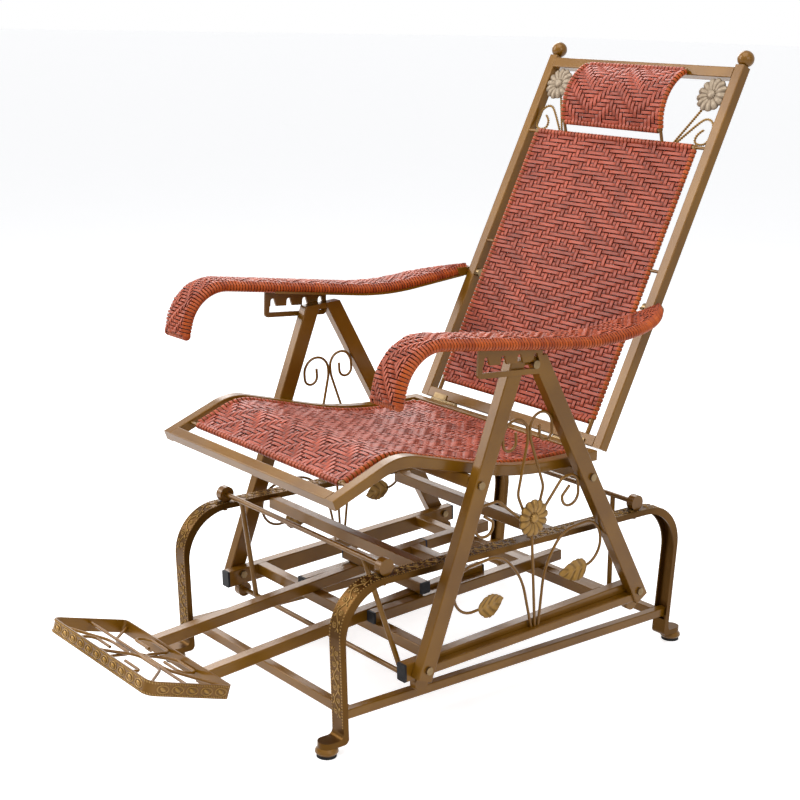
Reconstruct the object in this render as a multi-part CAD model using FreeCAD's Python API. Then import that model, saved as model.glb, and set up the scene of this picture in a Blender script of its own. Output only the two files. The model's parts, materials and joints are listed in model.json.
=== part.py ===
import FreeCAD, Part
import math
import os

# A steel-framed reclining glider chair with woven panels, in millimetres.
# X is across the chair, -Y is the way the sitter faces, Z is up from the floor.
# Side-view points are (y, z) pairs, and the left side of the chair is +X.

# Square and flat tubes
tube = 20.0
leg_depth = 30.0
low_rail = 16.0
tube_round = 2.0
weld_gap = 0.2
pin_slack = 0.05
slide_slack = 0.5
cut_over = 1.0

# Places across the chair, each worked out from the seat panel outwards by a named gap
seat_panel_half = 206.0
seat_lug_length = 17.0
side_gap = 1.0
arch_gap = 2.0
back_inset = 3.0
arm_gap = 3.0
back_panel_inset = 23.0
link_top_inset = 38.0
link_bottom_inset = 2.0
rear_link_inset = 7.0
hinge_inset = 20.0
hinge_length = 69.0
scroll_inset = 6.0
back_flower_inset = 7.0
stem_foot_inset = 51.0

# Fixed base: two bent arches on four feet
arch_width = 30.0
arch_depth = 10.0
arch_web = 3.0
arch_top = 277.0
arch_bend = 75.0
arch_foot_bend = 14.0
arch_front_y = -372.3
arch_rear_y = 386.5
arch_lean = 0.06
arch_lean_height = 150.0
foot_front_y = -392.0
foot_rear_y = 409.0
foot_radius = 19.0
foot_cup_height = 11.0
foot_lip = 1.0
pad_radius = 16.0
pad_height = 5.0
channel_start = 48.0
low_rail_top = 70.0
low_front_y = -350.0
low_rear_y = 366.0
tie_front_y = -191.0
tie_rear_y = 100.0
tie_top = 272.0

# Swing: a front and a rear hanger
rod_radius = 4.5
cup_radius = 14.0
cup_length = 14.0
cup_wall = 2.5
cup_seat = 0.5
cup_stud_radius = 4.0
cup_stud_length = 17.0
cup_nut_radius = 6.5
cup_nut_height = 6.0
hanger_y = 286.0
front_lower = (-230.0, 91.0)
rear_lower = (257.0, 117.0)
lower_cup_radius = 13.5
rear_cup_slack = 2.3

# Chassis that hangs on the swing
rail_front = -37.0
rail_rear = 505.0
cap_thickness = 4.0
cross_front = 38.0
cross_rear = 415.0
guide_x = 89.5
guide_front = 24.0
guide_rear = 461.0
hold_down = 134.0
hold_down_overhang = 2.5
hold_down_gap = 6.0
stud_radius = 3.0

# Side frames: two legs a side that meet under the arm
front_bolt = (-236.6, 123.0)
front_leg_angle = 70.76
rear_bolt = (248.6, 148.0)
rear_leg_angle = 120.84
leg_foot = 18.0
leg_top_front = (-84.0, 602.0)
leg_top_rear = (-7.0, 607.0)
bolt_radius = 3.0
bolt_head_radius = 6.5
bolt_head_height = 4.0
nut_radius = 7.0
nut_height = 5.0
sill = 15.0
sill_front = (-227.0, 127.0)
sill_rear = (235.0, 143.0)
scroll_wire = 2.4
scroll_foot_y = 7.0
scroll_lean = 95.7
lyre_root = (18.0, 17.0)
lyre_waist = (29.0, 243.0)
lyre_neck = 333.0
lyre_head = 39.0
lyre_drop = 49.0
lyre_reach = 57.0
lyre_round = 24.0
lyre_curl = 28.0
lyre_bends = [25.0, 60.0]
curl_root = (28.0, 7.0)
curl_knee = 72.0
curl_top = 246.0
curl_low = 193.0
curl_round = 20.0
curl_width = 38.0
curl_rise = 21.0
curl_eye = (20.0, 35.0)
curl_bends = [17.0, 5.0]
spray_knees = [(26.0, 100.0), (70.0, 152.0)]
spray_low = 72.0
spray_round = 39.0
spray_bends = [120.0, 60.0]
leaf_stalk = 124.0
leaf_belly = 0.42
flower_along = 197.0
flower_radius = 32.0
flower_petals = 12
flower_height = 7.0
leaf_length = 60.0
leaf_width = 38.0
leaf_thickness = 3.0

# Seat
seat_depth = 18.0
seat_front = (-400.0, 421.0)
seat_crest = (-270.8, 473.2)
seat_dip = (-21.0, 409.5)
seat_crest_bend = 100.0
seat_dip_bend = 700.0
hinge = (169.0, 407.0)
hinge_radius = 4.5
hinge_pin_radius = 2.4
support_front_y = -134.0
support_rear_y = 112.0
panel_rod = 4.0
panel_thickness = 5.0
rib_depth = 1.2
rib_share = 0.625
back_rib_pitch = 32.4
back_rib_slope = 0.445
back_rib_centre = (-24.0, 0.58)
seat_rib_pitch = 50.4
seat_rib_fold = 42.0
seat_panel_drop = 6.0
seat_panel_front = 45.0
seat_panel_rear = 28.0
lug_radius = 3.0

# Back
back_corner = (173.7, 409.8)
back_angle = 64.5
back_length = 715.0
finial_radius = 15.0
top_bar_drop = 25.0
back_panel_low = 42.0
back_lug_share = 0.58
headrest_inset = 76.0
headrest_length = 120.0
headrest_gap = 15.0
headrest_overlap = 6.0
headrest_rise_low = 12.0
headrest_bulge = 32.0
back_flower_drop = 39.0
stem_wire = 2.5
hook_start = 5.0
hook_path = [
    (-14.0, -57.0), (5.0, -44.0), (24.0, -57.0), (24.0, -90.0), (-3.0, -90.0), (-3.0, -76.0), (8.0, -64.0),
]
hook_bends = [40.0, 14.0, 14.0, 12.0, 6.9, 12.0]
arm_pivot_along = 260.0
arm_pivot_radius = 4.0

# Arms
arm_width = 70.0
arm_flare = 14.0
arm_end_width = 14.0
arm_thickness = 16.0
arm_tip = (-348.0, 577.0)
arm_shoulder = (-327.0, 669.0)
arm_valley = (88.0, 624.0)
arm_rear = (290.0, 648.9)
arm_shoulder_bend = 80.0
arm_valley_bend = 600.0
arm_taper_start = 150.0
arm_taper_bulge = 0.2
strap = 4.0
strap_width = 25.0
lug_slack = 2.5
rack_plate = 4.0
rack_gap = 2.0
rack_front_y = -161.0
rack_rear_y = -24.0
rack_slope = -0.054
rack_lane = 11.2
rack_lane_z = 594.0
rack_border = 9.0
rack_corner = 7.0
notch_pitch = 35.3
notch_width = 9.0
notch_height = 14.0
rack_pin_radius = 3.5
rack_pin = (-40.0, 595.0)

# Footrest that slides under the seat
runner_side_gap = 1.0
runner_slope = 5.45
runner_front = -345.0
runner_rear = 252.0
rim_rear = (-523.0, 129.0)
rim_tilt = 16.3
rim_length = 146.0
rim_front_half = 154.0
rim_rear_half = 162.0
rim_height = 22.0
rim_wall = 3.0
rim_front_bend = 16.0
rim_rear_bend = 8.0
pad_wire = 2.5
pad_wire_drop = 6.0
pad_scroll_corner = (165.0, 81.0)
pad_scroll_knee = 78.0
pad_scroll_turn = 10.0
pad_scroll_back = -10.0
pad_scroll_end = -74.0
pad_scroll_eye = (-25.0, 36.0)
pad_scroll_bends = [40.0, 20.0, 20.0, 14.0, 12.0]

# Everything across the chair follows from the values above
seat_in = seat_panel_half + seat_lug_length
seat_outer_x = seat_in + tube
rail_x = seat_outer_x + side_gap
rail_out = rail_x + tube
arch_out = rail_x - arch_gap
arch_in = arch_out - arch_width
arch_x = (arch_in + arch_out) / 2
link_top_x = arch_in - link_top_inset
link_bottom_x = arch_in - link_bottom_inset
rear_link_bottom_x = arch_in - rear_link_inset
scroll_x = rail_out + scroll_inset
back_outer_x = seat_outer_x - back_inset
back_in = back_outer_x - tube
back_panel_half = back_in - back_panel_inset
hinge_outer_x = back_in - hinge_inset
hinge_inner_x = hinge_outer_x - hinge_length
headrest_half = back_panel_half - headrest_inset
back_flower_x = back_panel_half - back_flower_inset
stem_foot_x = back_flower_x - stem_foot_inset
arm_inner_x = back_outer_x + arm_gap
arm_outer_x = arm_inner_x + arm_width
hold_down_half = guide_x + tube + hold_down_overhang
runner_x = guide_x - tube - runner_side_gap

# The back's crosswise pieces hang from the top of its uprights
top_bar_along = back_length - top_bar_drop
headrest_high = top_bar_along + headrest_overlap
headrest_low = headrest_high - headrest_length
back_panel_high = headrest_low - headrest_gap
back_flower_along = headrest_high - back_flower_drop

# The top loop of each lyre stands on its neck
lyre_top = lyre_neck + lyre_head
lyre_low = lyre_top - lyre_drop


def vector(x, point):
    """A side-view point set at a place across the chair."""
    return FreeCAD.Vector(x, point[0], point[1])


def direction(start, end):
    """Unit direction between two plane points."""
    length = math.hypot(end[0] - start[0], end[1] - start[1])
    return ((end[0] - start[0]) / length, (end[1] - start[1]) / length)


def meet(a, a_way, b, b_way):
    """Where two plane lines, each a point and a direction, cross."""
    cross = a_way[0] * b_way[1] - a_way[1] * b_way[0]
    step = ((b[0] - a[0]) * b_way[1] - (b[1] - a[1]) * b_way[0]) / cross
    return (a[0] + step * a_way[0], a[1] + step * a_way[1])


class Axes:
    """A plane frame in the side view: along a direction, and across it to its left."""

    def __init__(self, origin, degrees):
        turn = math.radians(degrees)
        self.origin = origin
        self.degrees = degrees
        self.along = (math.cos(turn), math.sin(turn))
        self.across = (-math.sin(turn), math.cos(turn))

    def at(self, u, w):
        """The side-view point at a distance along and across."""
        return (
            self.origin[0] + u * self.along[0] + w * self.across[0],
            self.origin[1] + u * self.along[1] + w * self.across[1],
        )

    def bar(self, u, w, x, long_side):
        """A rounded square bar over ranges along, across and over X, long in one of them."""
        block = Part.makeBox(x[1] - x[0], u[1] - u[0], w[1] - w[0])
        axis = {"x": 0, "u": 1}[long_side]
        edges = [e for e in block.Edges if abs(tuple(e.tangentAt(e.FirstParameter))[axis]) > 0.9]
        block = block.makeFillet(tube_round, edges)
        block.translate(FreeCAD.Vector(x[0], u[0], w[0]))
        block.rotate(FreeCAD.Vector(), FreeCAD.Vector(1, 0, 0), self.degrees)
        block.translate(vector(0, self.origin))
        return block


level = Axes((0.0, 0.0), 0.0)


def corner_arc(before, corner, after, radius):
    """Start, middle and end of the arc that rounds a corner."""
    way_in = direction(before, corner)
    way_out = direction(corner, after)
    half = math.acos(max(-1.0, min(1.0, way_in[0] * way_out[0] + way_in[1] * way_out[1]))) / 2
    reach = radius * math.tan(half)
    rise = radius / math.cos(half) - radius
    inward = direction((0, 0), (way_out[0] - way_in[0], way_out[1] - way_in[1]))
    start = (corner[0] - reach * way_in[0], corner[1] - reach * way_in[1])
    middle = (corner[0] + rise * inward[0], corner[1] + rise * inward[1])
    end = (corner[0] + reach * way_out[0], corner[1] + reach * way_out[1])
    return start, middle, end


def rounded_edges(points, radii, lift):
    """Edges of an open path with its corners rounded; lift turns plane points into space."""
    edges = []
    last = points[0]
    for index, radius in enumerate(radii):
        start, middle, end = corner_arc(*points[index:index + 3], radius)
        if math.hypot(start[0] - last[0], start[1] - last[1]) > 1e-4:
            edges.append(Part.LineSegment(lift(last), lift(start)).toShape())
        edges.append(Part.Arc(lift(start), lift(middle), lift(end)).toShape())
        last = end
    edges.append(Part.LineSegment(lift(last), lift(points[-1])).toShape())
    return edges


def offset_path(points, radii, distance):
    """The same path moved to its left, with the bends that keep it parallel."""
    ways = [direction(a, b) for a, b in zip(points, points[1:])]
    starts = [(p[0] - w[1] * distance, p[1] + w[0] * distance) for p, w in zip(points, ways)]
    moved = [starts[0]]
    bends = []
    for index, radius in enumerate(radii):
        first, second = ways[index], ways[index + 1]
        moved.append(meet(starts[index], first, starts[index + 1], second))
        turn = first[0] * second[1] - first[1] * second[0]
        bends.append(radius - math.copysign(distance, turn))
    last = ways[-1]
    moved.append((points[-1][0] - last[1] * distance, points[-1][1] + last[0] * distance))
    return moved, bends


def strip(points, radii, left, right, x0, x1):
    """A flat band along a side-view path, from left of it to right of it, and over X."""
    upper, upper_bends = offset_path(points, radii, left)
    lower, lower_bends = offset_path(points, radii, -right)
    lift = lambda point: vector(x0, point)
    edges = rounded_edges(upper, upper_bends, lift) + rounded_edges(lower, lower_bends, lift)
    edges.append(Part.LineSegment(lift(upper[0]), lift(lower[0])).toShape())
    edges.append(Part.LineSegment(lift(upper[-1]), lift(lower[-1])).toShape())
    face = Part.Face(Part.Wire(Part.__sortEdges__(edges)))
    return face.extrude(FreeCAD.Vector(x1 - x0, 0, 0))


def prism(points, x0, x1):
    """A side-view polygon extruded over X."""
    loop = [vector(x0, p) for p in points + points[:1]]
    return Part.Face(Part.makePolygon(loop)).extrude(FreeCAD.Vector(x1 - x0, 0, 0))


def pipe(edges, radius):
    """A round wire along a path of lines and tangent arcs."""
    path = Part.Wire(edges)
    first = edges[0]
    start = first.valueAt(first.FirstParameter)
    circle = Part.makeCircle(radius, start, first.tangentAt(first.FirstParameter))
    return path.makePipeShell([Part.Wire([circle])], True, False)


def side_pipe(points, radii, radius, x):
    """A round wire bent in the side view."""
    return pipe(rounded_edges(points, radii, lambda point: vector(x, point)), radius)


def cross_rod(point, radius, x0, x1):
    """A round rod across the chair."""
    return Part.makeCylinder(radius, x1 - x0, vector(x0, point), FreeCAD.Vector(1, 0, 0))


def round_rod(start, end, radius):
    """A round rod between two points in space."""
    return Part.makeCylinder(radius, (end - start).Length, start, end - start)


def hexagon(point, radius, x0, x1):
    """A hexagonal nut across the chair."""
    turns = [math.pi * k / 3 for k in range(6)]
    corners = [(point[0] + radius * math.cos(turn), point[1] + radius * math.sin(turn)) for turn in turns]
    return prism(corners, x0, x1)


def largest(shape):
    """The biggest solid of a shape that a cut has left in pieces."""
    return max(shape.Solids, key=lambda solid: solid.Volume)


def mirrored(shape):
    """The same piece on the other side of the chair."""
    return shape.mirror(FreeCAD.Vector(), FreeCAD.Vector(1, 0, 0))


def pair(shape):
    """A piece and its mirror image."""
    return [shape, mirrored(shape)]


nodes = {}


def keep(name, *solids):
    """Set a node aside for export."""
    nodes[name] = solids[0] if len(solids) == 1 else Part.makeCompound(list(solids))


def keep_sides(name, shape):
    """A left piece and the right one that mirrors it."""
    keep("left_" + name, shape)
    keep("right_" + name, mirrored(shape))


# Base arches, with an open channel inside and a round tongue over each foot
def arch_leg_y(side_y, outward, z):
    return side_y + outward * arch_lean * (z - arch_lean_height)


tongue_z = pad_height + foot_cup_height + arch_depth / 2
arch_mid_z = arch_top - arch_depth / 2
arch_path = [
    (foot_front_y, tongue_z),
    (arch_leg_y(arch_front_y, -1, tongue_z), tongue_z),
    (arch_leg_y(arch_front_y, -1, arch_mid_z), arch_mid_z),
    (arch_leg_y(arch_rear_y, 1, arch_mid_z), arch_mid_z),
    (arch_leg_y(arch_rear_y, 1, tongue_z), tongue_z),
    (foot_rear_y, tongue_z),
]
arch_radii = [arch_foot_bend, arch_bend, arch_bend, arch_foot_bend]
arch = strip(arch_path, arch_radii, arch_depth / 2, arch_depth / 2, arch_in, arch_out)
channel_path = [
    (arch_leg_y(arch_front_y, -1, channel_start), channel_start),
    arch_path[2],
    arch_path[3],
    (arch_leg_y(arch_rear_y, 1, channel_start), channel_start),
]
arch_channel = strip(
    channel_path, [arch_bend, arch_bend], arch_depth / 2 - arch_web, arch_depth,
    arch_in + arch_web, arch_out - arch_web,
)
arch = arch.cut(arch_channel)
feet = [foot_front_y, foot_rear_y]
for foot_y in feet:
    tongue_base = FreeCAD.Vector(arch_x, foot_y, tongue_z - arch_depth / 2)
    arch = arch.fuse(Part.makeCylinder(arch_width / 2, arch_depth, tongue_base))
arch = arch.removeSplitter()

cup_z = arch_top + cup_radius - cup_seat
upper_front = (-hanger_y, cup_z)
upper_rear = (hanger_y, cup_z)


def upper_cup(point):
    """A bearing cup on an arch, held by a stud and nut through the arch."""
    cup = cross_rod(point, cup_radius, arch_x - cup_length / 2, arch_x + cup_length / 2)
    floor_size = 4 * cup_radius
    below = Part.makeBox(
        floor_size, floor_size, floor_size,
        FreeCAD.Vector(arch_x - floor_size / 2, point[0] - floor_size / 2, arch_top - floor_size),
    )
    cup = cup.cut(below)
    stud_base = FreeCAD.Vector(arch_x, point[0], arch_top - cup_stud_length)
    cup = cup.fuse(Part.makeCylinder(cup_stud_radius, cup_stud_length + cup_seat, stud_base))
    nut_base = FreeCAD.Vector(arch_x, point[0], arch_top - arch_web - cup_nut_height)
    cup = cup.fuse(Part.makeCylinder(cup_nut_radius, cup_nut_height, nut_base))
    bore_end = arch_x + cup_length / 2 - cup_wall
    return cup.cut(cross_rod(point, rod_radius + pin_slack, arch_x - cup_length, bore_end))


upper_cups = [upper_cup(upper_front), upper_cup(upper_rear)]
for point in (upper_front, upper_rear):
    stud_hole = FreeCAD.Vector(arch_x, point[0], arch_top - arch_depth)
    arch = arch.cut(Part.makeCylinder(cup_stud_radius + weld_gap, 2 * arch_depth, stud_hole))
keep_sides("arch", arch)
keep("upper_bearing_cups", *[c for cup in upper_cups for c in pair(cup)])

cup_top = pad_height + foot_cup_height
foot_profile = [
    (0, pad_height), (pad_radius, pad_height), (foot_radius, pad_height + foot_cup_height / 3),
    (foot_radius - foot_lip, pad_height + 2 * foot_cup_height / 3), (arch_width / 2, cup_top), (0, cup_top),
    (0, pad_height),
]
foot_cups = []
foot_pads = []
for foot_y in feet:
    section = Part.Face(Part.makePolygon([FreeCAD.Vector(r, 0, z) for r, z in foot_profile]))
    cup = section.revolve(FreeCAD.Vector(), FreeCAD.Vector(0, 0, 1), 360)
    cup.translate(FreeCAD.Vector(arch_x, foot_y, 0))
    foot_cups += pair(cup)
    pad = Part.makeCylinder(pad_radius, pad_height, FreeCAD.Vector(arch_x, foot_y, 0))
    foot_pads += pair(pad)
keep("foot_cups", *foot_cups)
keep("foot_pads", *foot_pads)

low_z = (low_rail_top - low_rail, low_rail_top)
low_side = level.bar(
    (foot_front_y, foot_rear_y), low_z, (arch_x - low_rail / 2, arch_x + low_rail / 2), "u"
)
low_side = largest(low_side.cut(arch))
low_span = (low_rail / 2 - arch_x, arch_x - low_rail / 2)
low_ends = [
    level.bar((y - low_rail / 2, y + low_rail / 2), low_z, low_span, "x") for y in (low_front_y, low_rear_y)
]
keep("base_low_rails", *(pair(low_side) + low_ends))
ties = [
    level.bar((y - tube / 2, y + tube / 2), (tie_top - tube, tie_top), (-arch_in, arch_in), "x")
    for y in (tie_front_y, tie_rear_y)
]
keep("base_ties", *ties)

# Hangers: a top rod in the base cups, a bottom rod in the chassis cups, two links between
lower_cup_x = rail_x + tube / 2
rod_end_gap = cup_wall + slide_slack


def hanger(name, top, bottom, bottom_x):
    """The two rods and two links of one hanger."""
    top_end = arch_x + cup_length / 2 - rod_end_gap
    bottom_end = lower_cup_x + cup_length / 2 - rod_end_gap
    top_rod = cross_rod(top, rod_radius, -top_end, top_end)
    bottom_rod = cross_rod(bottom, rod_radius, -bottom_end, bottom_end)
    link = round_rod(vector(link_top_x, top), vector(bottom_x, bottom), rod_radius)
    link = largest(link.cut(top_rod).cut(bottom_rod))
    keep(name + "_hanger_rods", top_rod, bottom_rod)
    keep(name + "_hanger_links", *pair(link))


hanger("front", upper_front, front_lower, link_bottom_x)
hanger("rear", upper_rear, rear_lower, rear_link_bottom_x)

# Chassis, set on the line through the two lower pivots
pitch = math.degrees(math.atan2(rear_lower[1] - front_lower[1], rear_lower[0] - front_lower[0]))
chassis = Axes(front_lower, pitch)
pivot_span = math.hypot(rear_lower[0] - front_lower[0], rear_lower[1] - front_lower[1])
rail_low = lower_cup_radius - cup_seat
rail_high = rail_low + leg_depth
rail_ends = (rail_front + cap_thickness, rail_rear - cap_thickness)
rail = chassis.bar(rail_ends, (rail_low, rail_high), (rail_x, rail_out), "u")
lower_cups = []
for along, slack in ((0.0, pin_slack), (pivot_span, rear_cup_slack)):
    center = chassis.at(along, 0)
    cup = cross_rod(center, lower_cup_radius, lower_cup_x - cup_length / 2, lower_cup_x + cup_length / 2)
    above = [
        chassis.at(along - foot_radius, rail_low), chassis.at(along + foot_radius, rail_low),
        chassis.at(along + foot_radius, rail_high), chassis.at(along - foot_radius, rail_high),
    ]
    cup = cup.cut(prism(above, rail_x, rail_out))
    bore_end = lower_cup_x + cup_length / 2 - cup_wall
    cup = cup.cut(cross_rod(center, rod_radius + slack, rail_x - cup_length, bore_end))
    lower_cups += pair(cup)
keep("lower_bearing_cups", *lower_cups)

cross_low = rail_high - tube
crossbars = [
    chassis.bar((u - tube / 2, u + tube / 2), (cross_low, rail_high), (-rail_x, rail_x), "x")
    for u in (cross_front, cross_rear)
]
keep("chassis_crossbars", *crossbars)
guide_high = rail_high + tube
guide_ends = (guide_front + cap_thickness, guide_rear)
guide = chassis.bar(guide_ends, (rail_high, guide_high), (guide_x, guide_x + tube), "u")
keep("guide_rails", *pair(guide))
hold_low = guide_high + hold_down_gap
hold_u = (hold_down - tube / 2, hold_down + tube / 2)
hold_in = hold_down_half - cap_thickness
keep("hold_down_bar", chassis.bar(hold_u, (hold_low, hold_low + tube), (-hold_in, hold_in), "x"))
stud_x = guide_x + tube / 2
stud_foot = vector(stud_x, chassis.at(hold_down, guide_high))
stud = round_rod(stud_foot, vector(stud_x, chassis.at(hold_down, hold_low)), stud_radius)
keep("hold_down_studs", *pair(stud))
guide_cap = (guide_front, guide_front + cap_thickness)
rail_caps = [
    chassis.bar((rail_front, rail_front + cap_thickness), (rail_low, rail_high), (rail_x, rail_out), "u"),
    chassis.bar((rail_rear - cap_thickness, rail_rear), (rail_low, rail_high), (rail_x, rail_out), "u"),
    chassis.bar(guide_cap, (rail_high, guide_high), (guide_x, guide_x + tube), "u"),
    chassis.bar(hold_u, (hold_low, hold_low + tube), (hold_in, hold_down_half), "x"),
]
keep("chassis_caps", *[c for cap in rail_caps for c in pair(cap)])

# Side frames
leg_in = rail_out
leg_out = leg_in + tube
front_leg = Axes(front_bolt, front_leg_angle)
rear_leg = Axes(rear_bolt, rear_leg_angle)
leg_reach = 2 * (leg_top_front[1] - front_bolt[1])
leg_half = leg_depth / 2
top_way = direction(leg_top_front, leg_top_rear)
top_line = Axes(leg_top_front, math.degrees(math.atan2(top_way[1], top_way[0])))
above_legs = prism(
    [top_line.at(-leg_reach, 0), top_line.at(leg_reach, 0), top_line.at(leg_reach, leg_reach),
     top_line.at(-leg_reach, leg_reach)],
    leg_in - tube, leg_out + tube,
)


def leg(axes):
    """One leg, cut along the line of the side frame's top."""
    return axes.bar((-leg_foot, leg_reach), (-leg_half, leg_half), (leg_in, leg_out), "u").cut(above_legs)


front_post = largest(leg(front_leg))
crotch_front = meet(front_leg.at(0, -leg_half), front_leg.along, leg_top_front, top_way)
crotch_rear = meet(rear_leg.at(0, leg_half), rear_leg.along, leg_top_front, top_way)
crotch_drop = crotch_rear[0] - crotch_front[0]
weld_front = (
    crotch_front[0] - front_leg.along[0] * crotch_drop, crotch_front[1] - front_leg.along[1] * crotch_drop
)
weld_rear = (
    crotch_rear[0] - rear_leg.along[0] * crotch_drop, crotch_rear[1] - rear_leg.along[1] * crotch_drop
)
weld = prism([crotch_front, crotch_rear, weld_rear, weld_front], leg_in + tube_round, leg_out - tube_round)
rear_post = largest(leg(rear_leg).fuse(weld).cut(front_post))

seat_way = direction(seat_crest, seat_dip)
seat_slope = math.degrees(math.atan2(seat_way[1], seat_way[0]))
seat_slope_axes = Axes(meet(seat_crest, seat_way, (support_front_y, 0), (0, 1)), seat_slope)
seat_flat_axes = Axes((support_rear_y, seat_dip[1]), 0.0)
support_places = []
for axes in (seat_slope_axes, seat_flat_axes):
    support_places.append(axes.at(0, -seat_depth - tube / 2))
supports = [
    axes.bar((-tube / 2, tube / 2), (-seat_depth - tube, -seat_depth), (-leg_in, leg_in), "x")
    for axes in (seat_slope_axes, seat_flat_axes)
]


def bolt(point, inner_x):
    """A bolt from the outside of a leg inwards."""
    shank = cross_rod(point, bolt_radius, inner_x, leg_out)
    return shank.fuse(cross_rod(point, bolt_head_radius, leg_out, leg_out + bolt_head_height))


support_depth = leg_in - 2 * tube
nut_in = rail_x - nut_height
bolts = []
nuts = []
for point in (front_bolt, rear_bolt):
    bolts.append(bolt(point, nut_in))
    nut = hexagon(point, nut_radius, nut_in, rail_x)
    nuts.append(nut.cut(cross_rod(point, bolt_radius + weld_gap, nut_in - cut_over, rail_x + cut_over)))
for point in support_places:
    bolts.append(bolt(point, support_depth))
hole_radius = bolt_radius + weld_gap
hole_end = leg_out + cut_over
bolt_holes = [cross_rod(p, hole_radius, nut_in - cut_over, hole_end) for p in (front_bolt, rear_bolt)]
support_holes = [cross_rod(p, hole_radius, support_depth - cut_over, hole_end) for p in support_places]
for hole in bolt_holes:
    rail = rail.cut(hole)
keep_sides("chassis_rail", rail)
front_post = front_post.cut(bolt_holes[0]).cut(support_holes[0])
rear_post = rear_post.cut(bolt_holes[1]).cut(support_holes[1])
keep_sides("front_leg", front_post)
keep_sides("rear_leg", rear_post)
supports = [bar.cut(hole).cut(mirrored(hole)) for bar, hole in zip(supports, support_holes)]
keep("seat_supports", *supports)
keep("frame_bolts", *[b for one in bolts for b in pair(one)])
keep("frame_nuts", *[n for one in nuts for n in pair(one)])

sill_way = direction(sill_front, sill_rear)
sill_axes = Axes(sill_front, math.degrees(math.atan2(sill_way[1], sill_way[0])))
sill_reach = sill_rear[0] - sill_front[0]
sill_bar = sill_axes.bar((-leg_depth, sill_reach + leg_depth), (-sill, 0), (leg_in, leg_in + sill), "u")
sill_bar = largest(sill_bar.cut(front_post).cut(rear_post))
keep("sill_bars", *pair(sill_bar))

rack_pin_end = leg_out + rack_gap + rack_plate + rack_gap
pin = cross_rod(rack_pin, rack_pin_radius, leg_out, rack_pin_end)
pin = pin.fuse(cross_rod(rack_pin, 2 * rack_pin_radius, rack_pin_end, rack_pin_end + rack_gap))
keep("rack_pins", *pair(pin))

# Scrollwork of each side frame, mirrored about a stem that leans with the legs
scroll_foot = meet(sill_axes.at(0, 0), sill_axes.along, (scroll_foot_y, 0), (0, 1))
scroll = Axes(scroll_foot, scroll_lean)


def scroll_wire_shape(side, points, radii):
    """A scroll wire given by (out, up) points on one side of the stem."""
    path = [scroll.at(up, side * out) for out, up in points]
    return largest(side_pipe(path, radii, scroll_wire, scroll_x).cut(sill_bar))


def reach_to_leg(side, top, bottom, radius):
    """How far out a round loop can go, from its top to its bottom, until its wire is at the leg."""
    leg_axes = front_leg if side > 0 else rear_leg
    face = leg_axes.at(0, -side * leg_half)
    way = leg_axes.along
    rate = abs(scroll.across[0] * way[1] - scroll.across[1] * way[0])
    reaches = []
    for up in (top - radius, bottom + radius):
        middle = scroll.at(up, 0)
        room = abs((middle[0] - face[0]) * way[1] - (middle[1] - face[1]) * way[0])
        reaches.append(radius + (room - radius - scroll_wire - weld_gap) / rate)
    return min(reaches)


touch = scroll_wire + weld_gap / 2
scroll_wires = []
leaves = []
flower_back = scroll_wire + weld_gap
for side in (1, -1):
    out = min(lyre_reach, reach_to_leg(side, lyre_top, lyre_low, lyre_round))
    eye = out - lyre_curl
    lyre = [
        (lyre_root[0], flower_along + lyre_root[1]), lyre_waist, (touch, lyre_neck), (touch, lyre_top),
        (out, lyre_top), (out, lyre_low), (eye, lyre_low), (eye, lyre_low + lyre_curl),
    ]
    top_bend = (out - touch) / 2 - weld_gap
    eye_bend = lyre_curl / 2 - weld_gap
    loop_bends = [top_bend, top_bend, eye_bend, eye_bend]
    scroll_wires.append(scroll_wire_shape(side, lyre, lyre_bends + loop_bends))
    out = reach_to_leg(side, curl_top, curl_low, curl_round)
    curl = [
        (curl_root[0], flower_along + curl_root[1]), (curl_knee, curl_top), (out, curl_top), (out, curl_low),
        (out - curl_width, curl_low), (out - curl_width, curl_low + curl_rise),
        (out - curl_eye[0], curl_low + curl_eye[1]),
    ]
    scroll_wires.append(scroll_wire_shape(side, curl, [curl_round, curl_round, curl_round] + curl_bends))
    spray_top = spray_knees[1][1]
    out = reach_to_leg(side, spray_top, spray_low, spray_round)
    spray = [(3 * touch, -scroll_wire)] + spray_knees
    spray += [(out, spray_top), (out, spray_low), (leaf_stalk, spray_low)]
    scroll_wires.append(scroll_wire_shape(side, spray, spray_bends + [spray_round, spray_round]))
    stalk = scroll.at(spray_low, side * leaf_stalk)
    leaf_turn = scroll.degrees + (-90 if side > 0 else 90)
    leaf_axes = Axes(stalk, leaf_turn)
    tip = leaf_axes.at(leaf_length, 0)
    belly = leaf_axes.at(leaf_belly * leaf_length, leaf_width / 2)
    back_belly = leaf_axes.at(leaf_belly * leaf_length, -leaf_width / 2)
    outline = [
        Part.Arc(vector(0, stalk), vector(0, belly), vector(0, tip)).toShape(),
        Part.Arc(vector(0, tip), vector(0, back_belly), vector(0, stalk)).toShape(),
    ]
    leaf = Part.Face(Part.Wire(outline)).extrude(FreeCAD.Vector(leaf_thickness, 0, 0))
    leaf.translate(FreeCAD.Vector(scroll_x - leaf_thickness / 2, 0, 0))
    leaves.append(leaf)
scroll_wires.append(scroll_wire_shape(1, [(0, -scroll_wire), (0, flower_along)], []))
leaves = [one.cut(Part.makeCompound(scroll_wires)) for one in leaves]
keep("left_side_scroll", *scroll_wires)
keep("right_side_scroll", *[mirrored(one) for one in scroll_wires])
keep("side_leaves", *[p for one in leaves for p in pair(one)])


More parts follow.
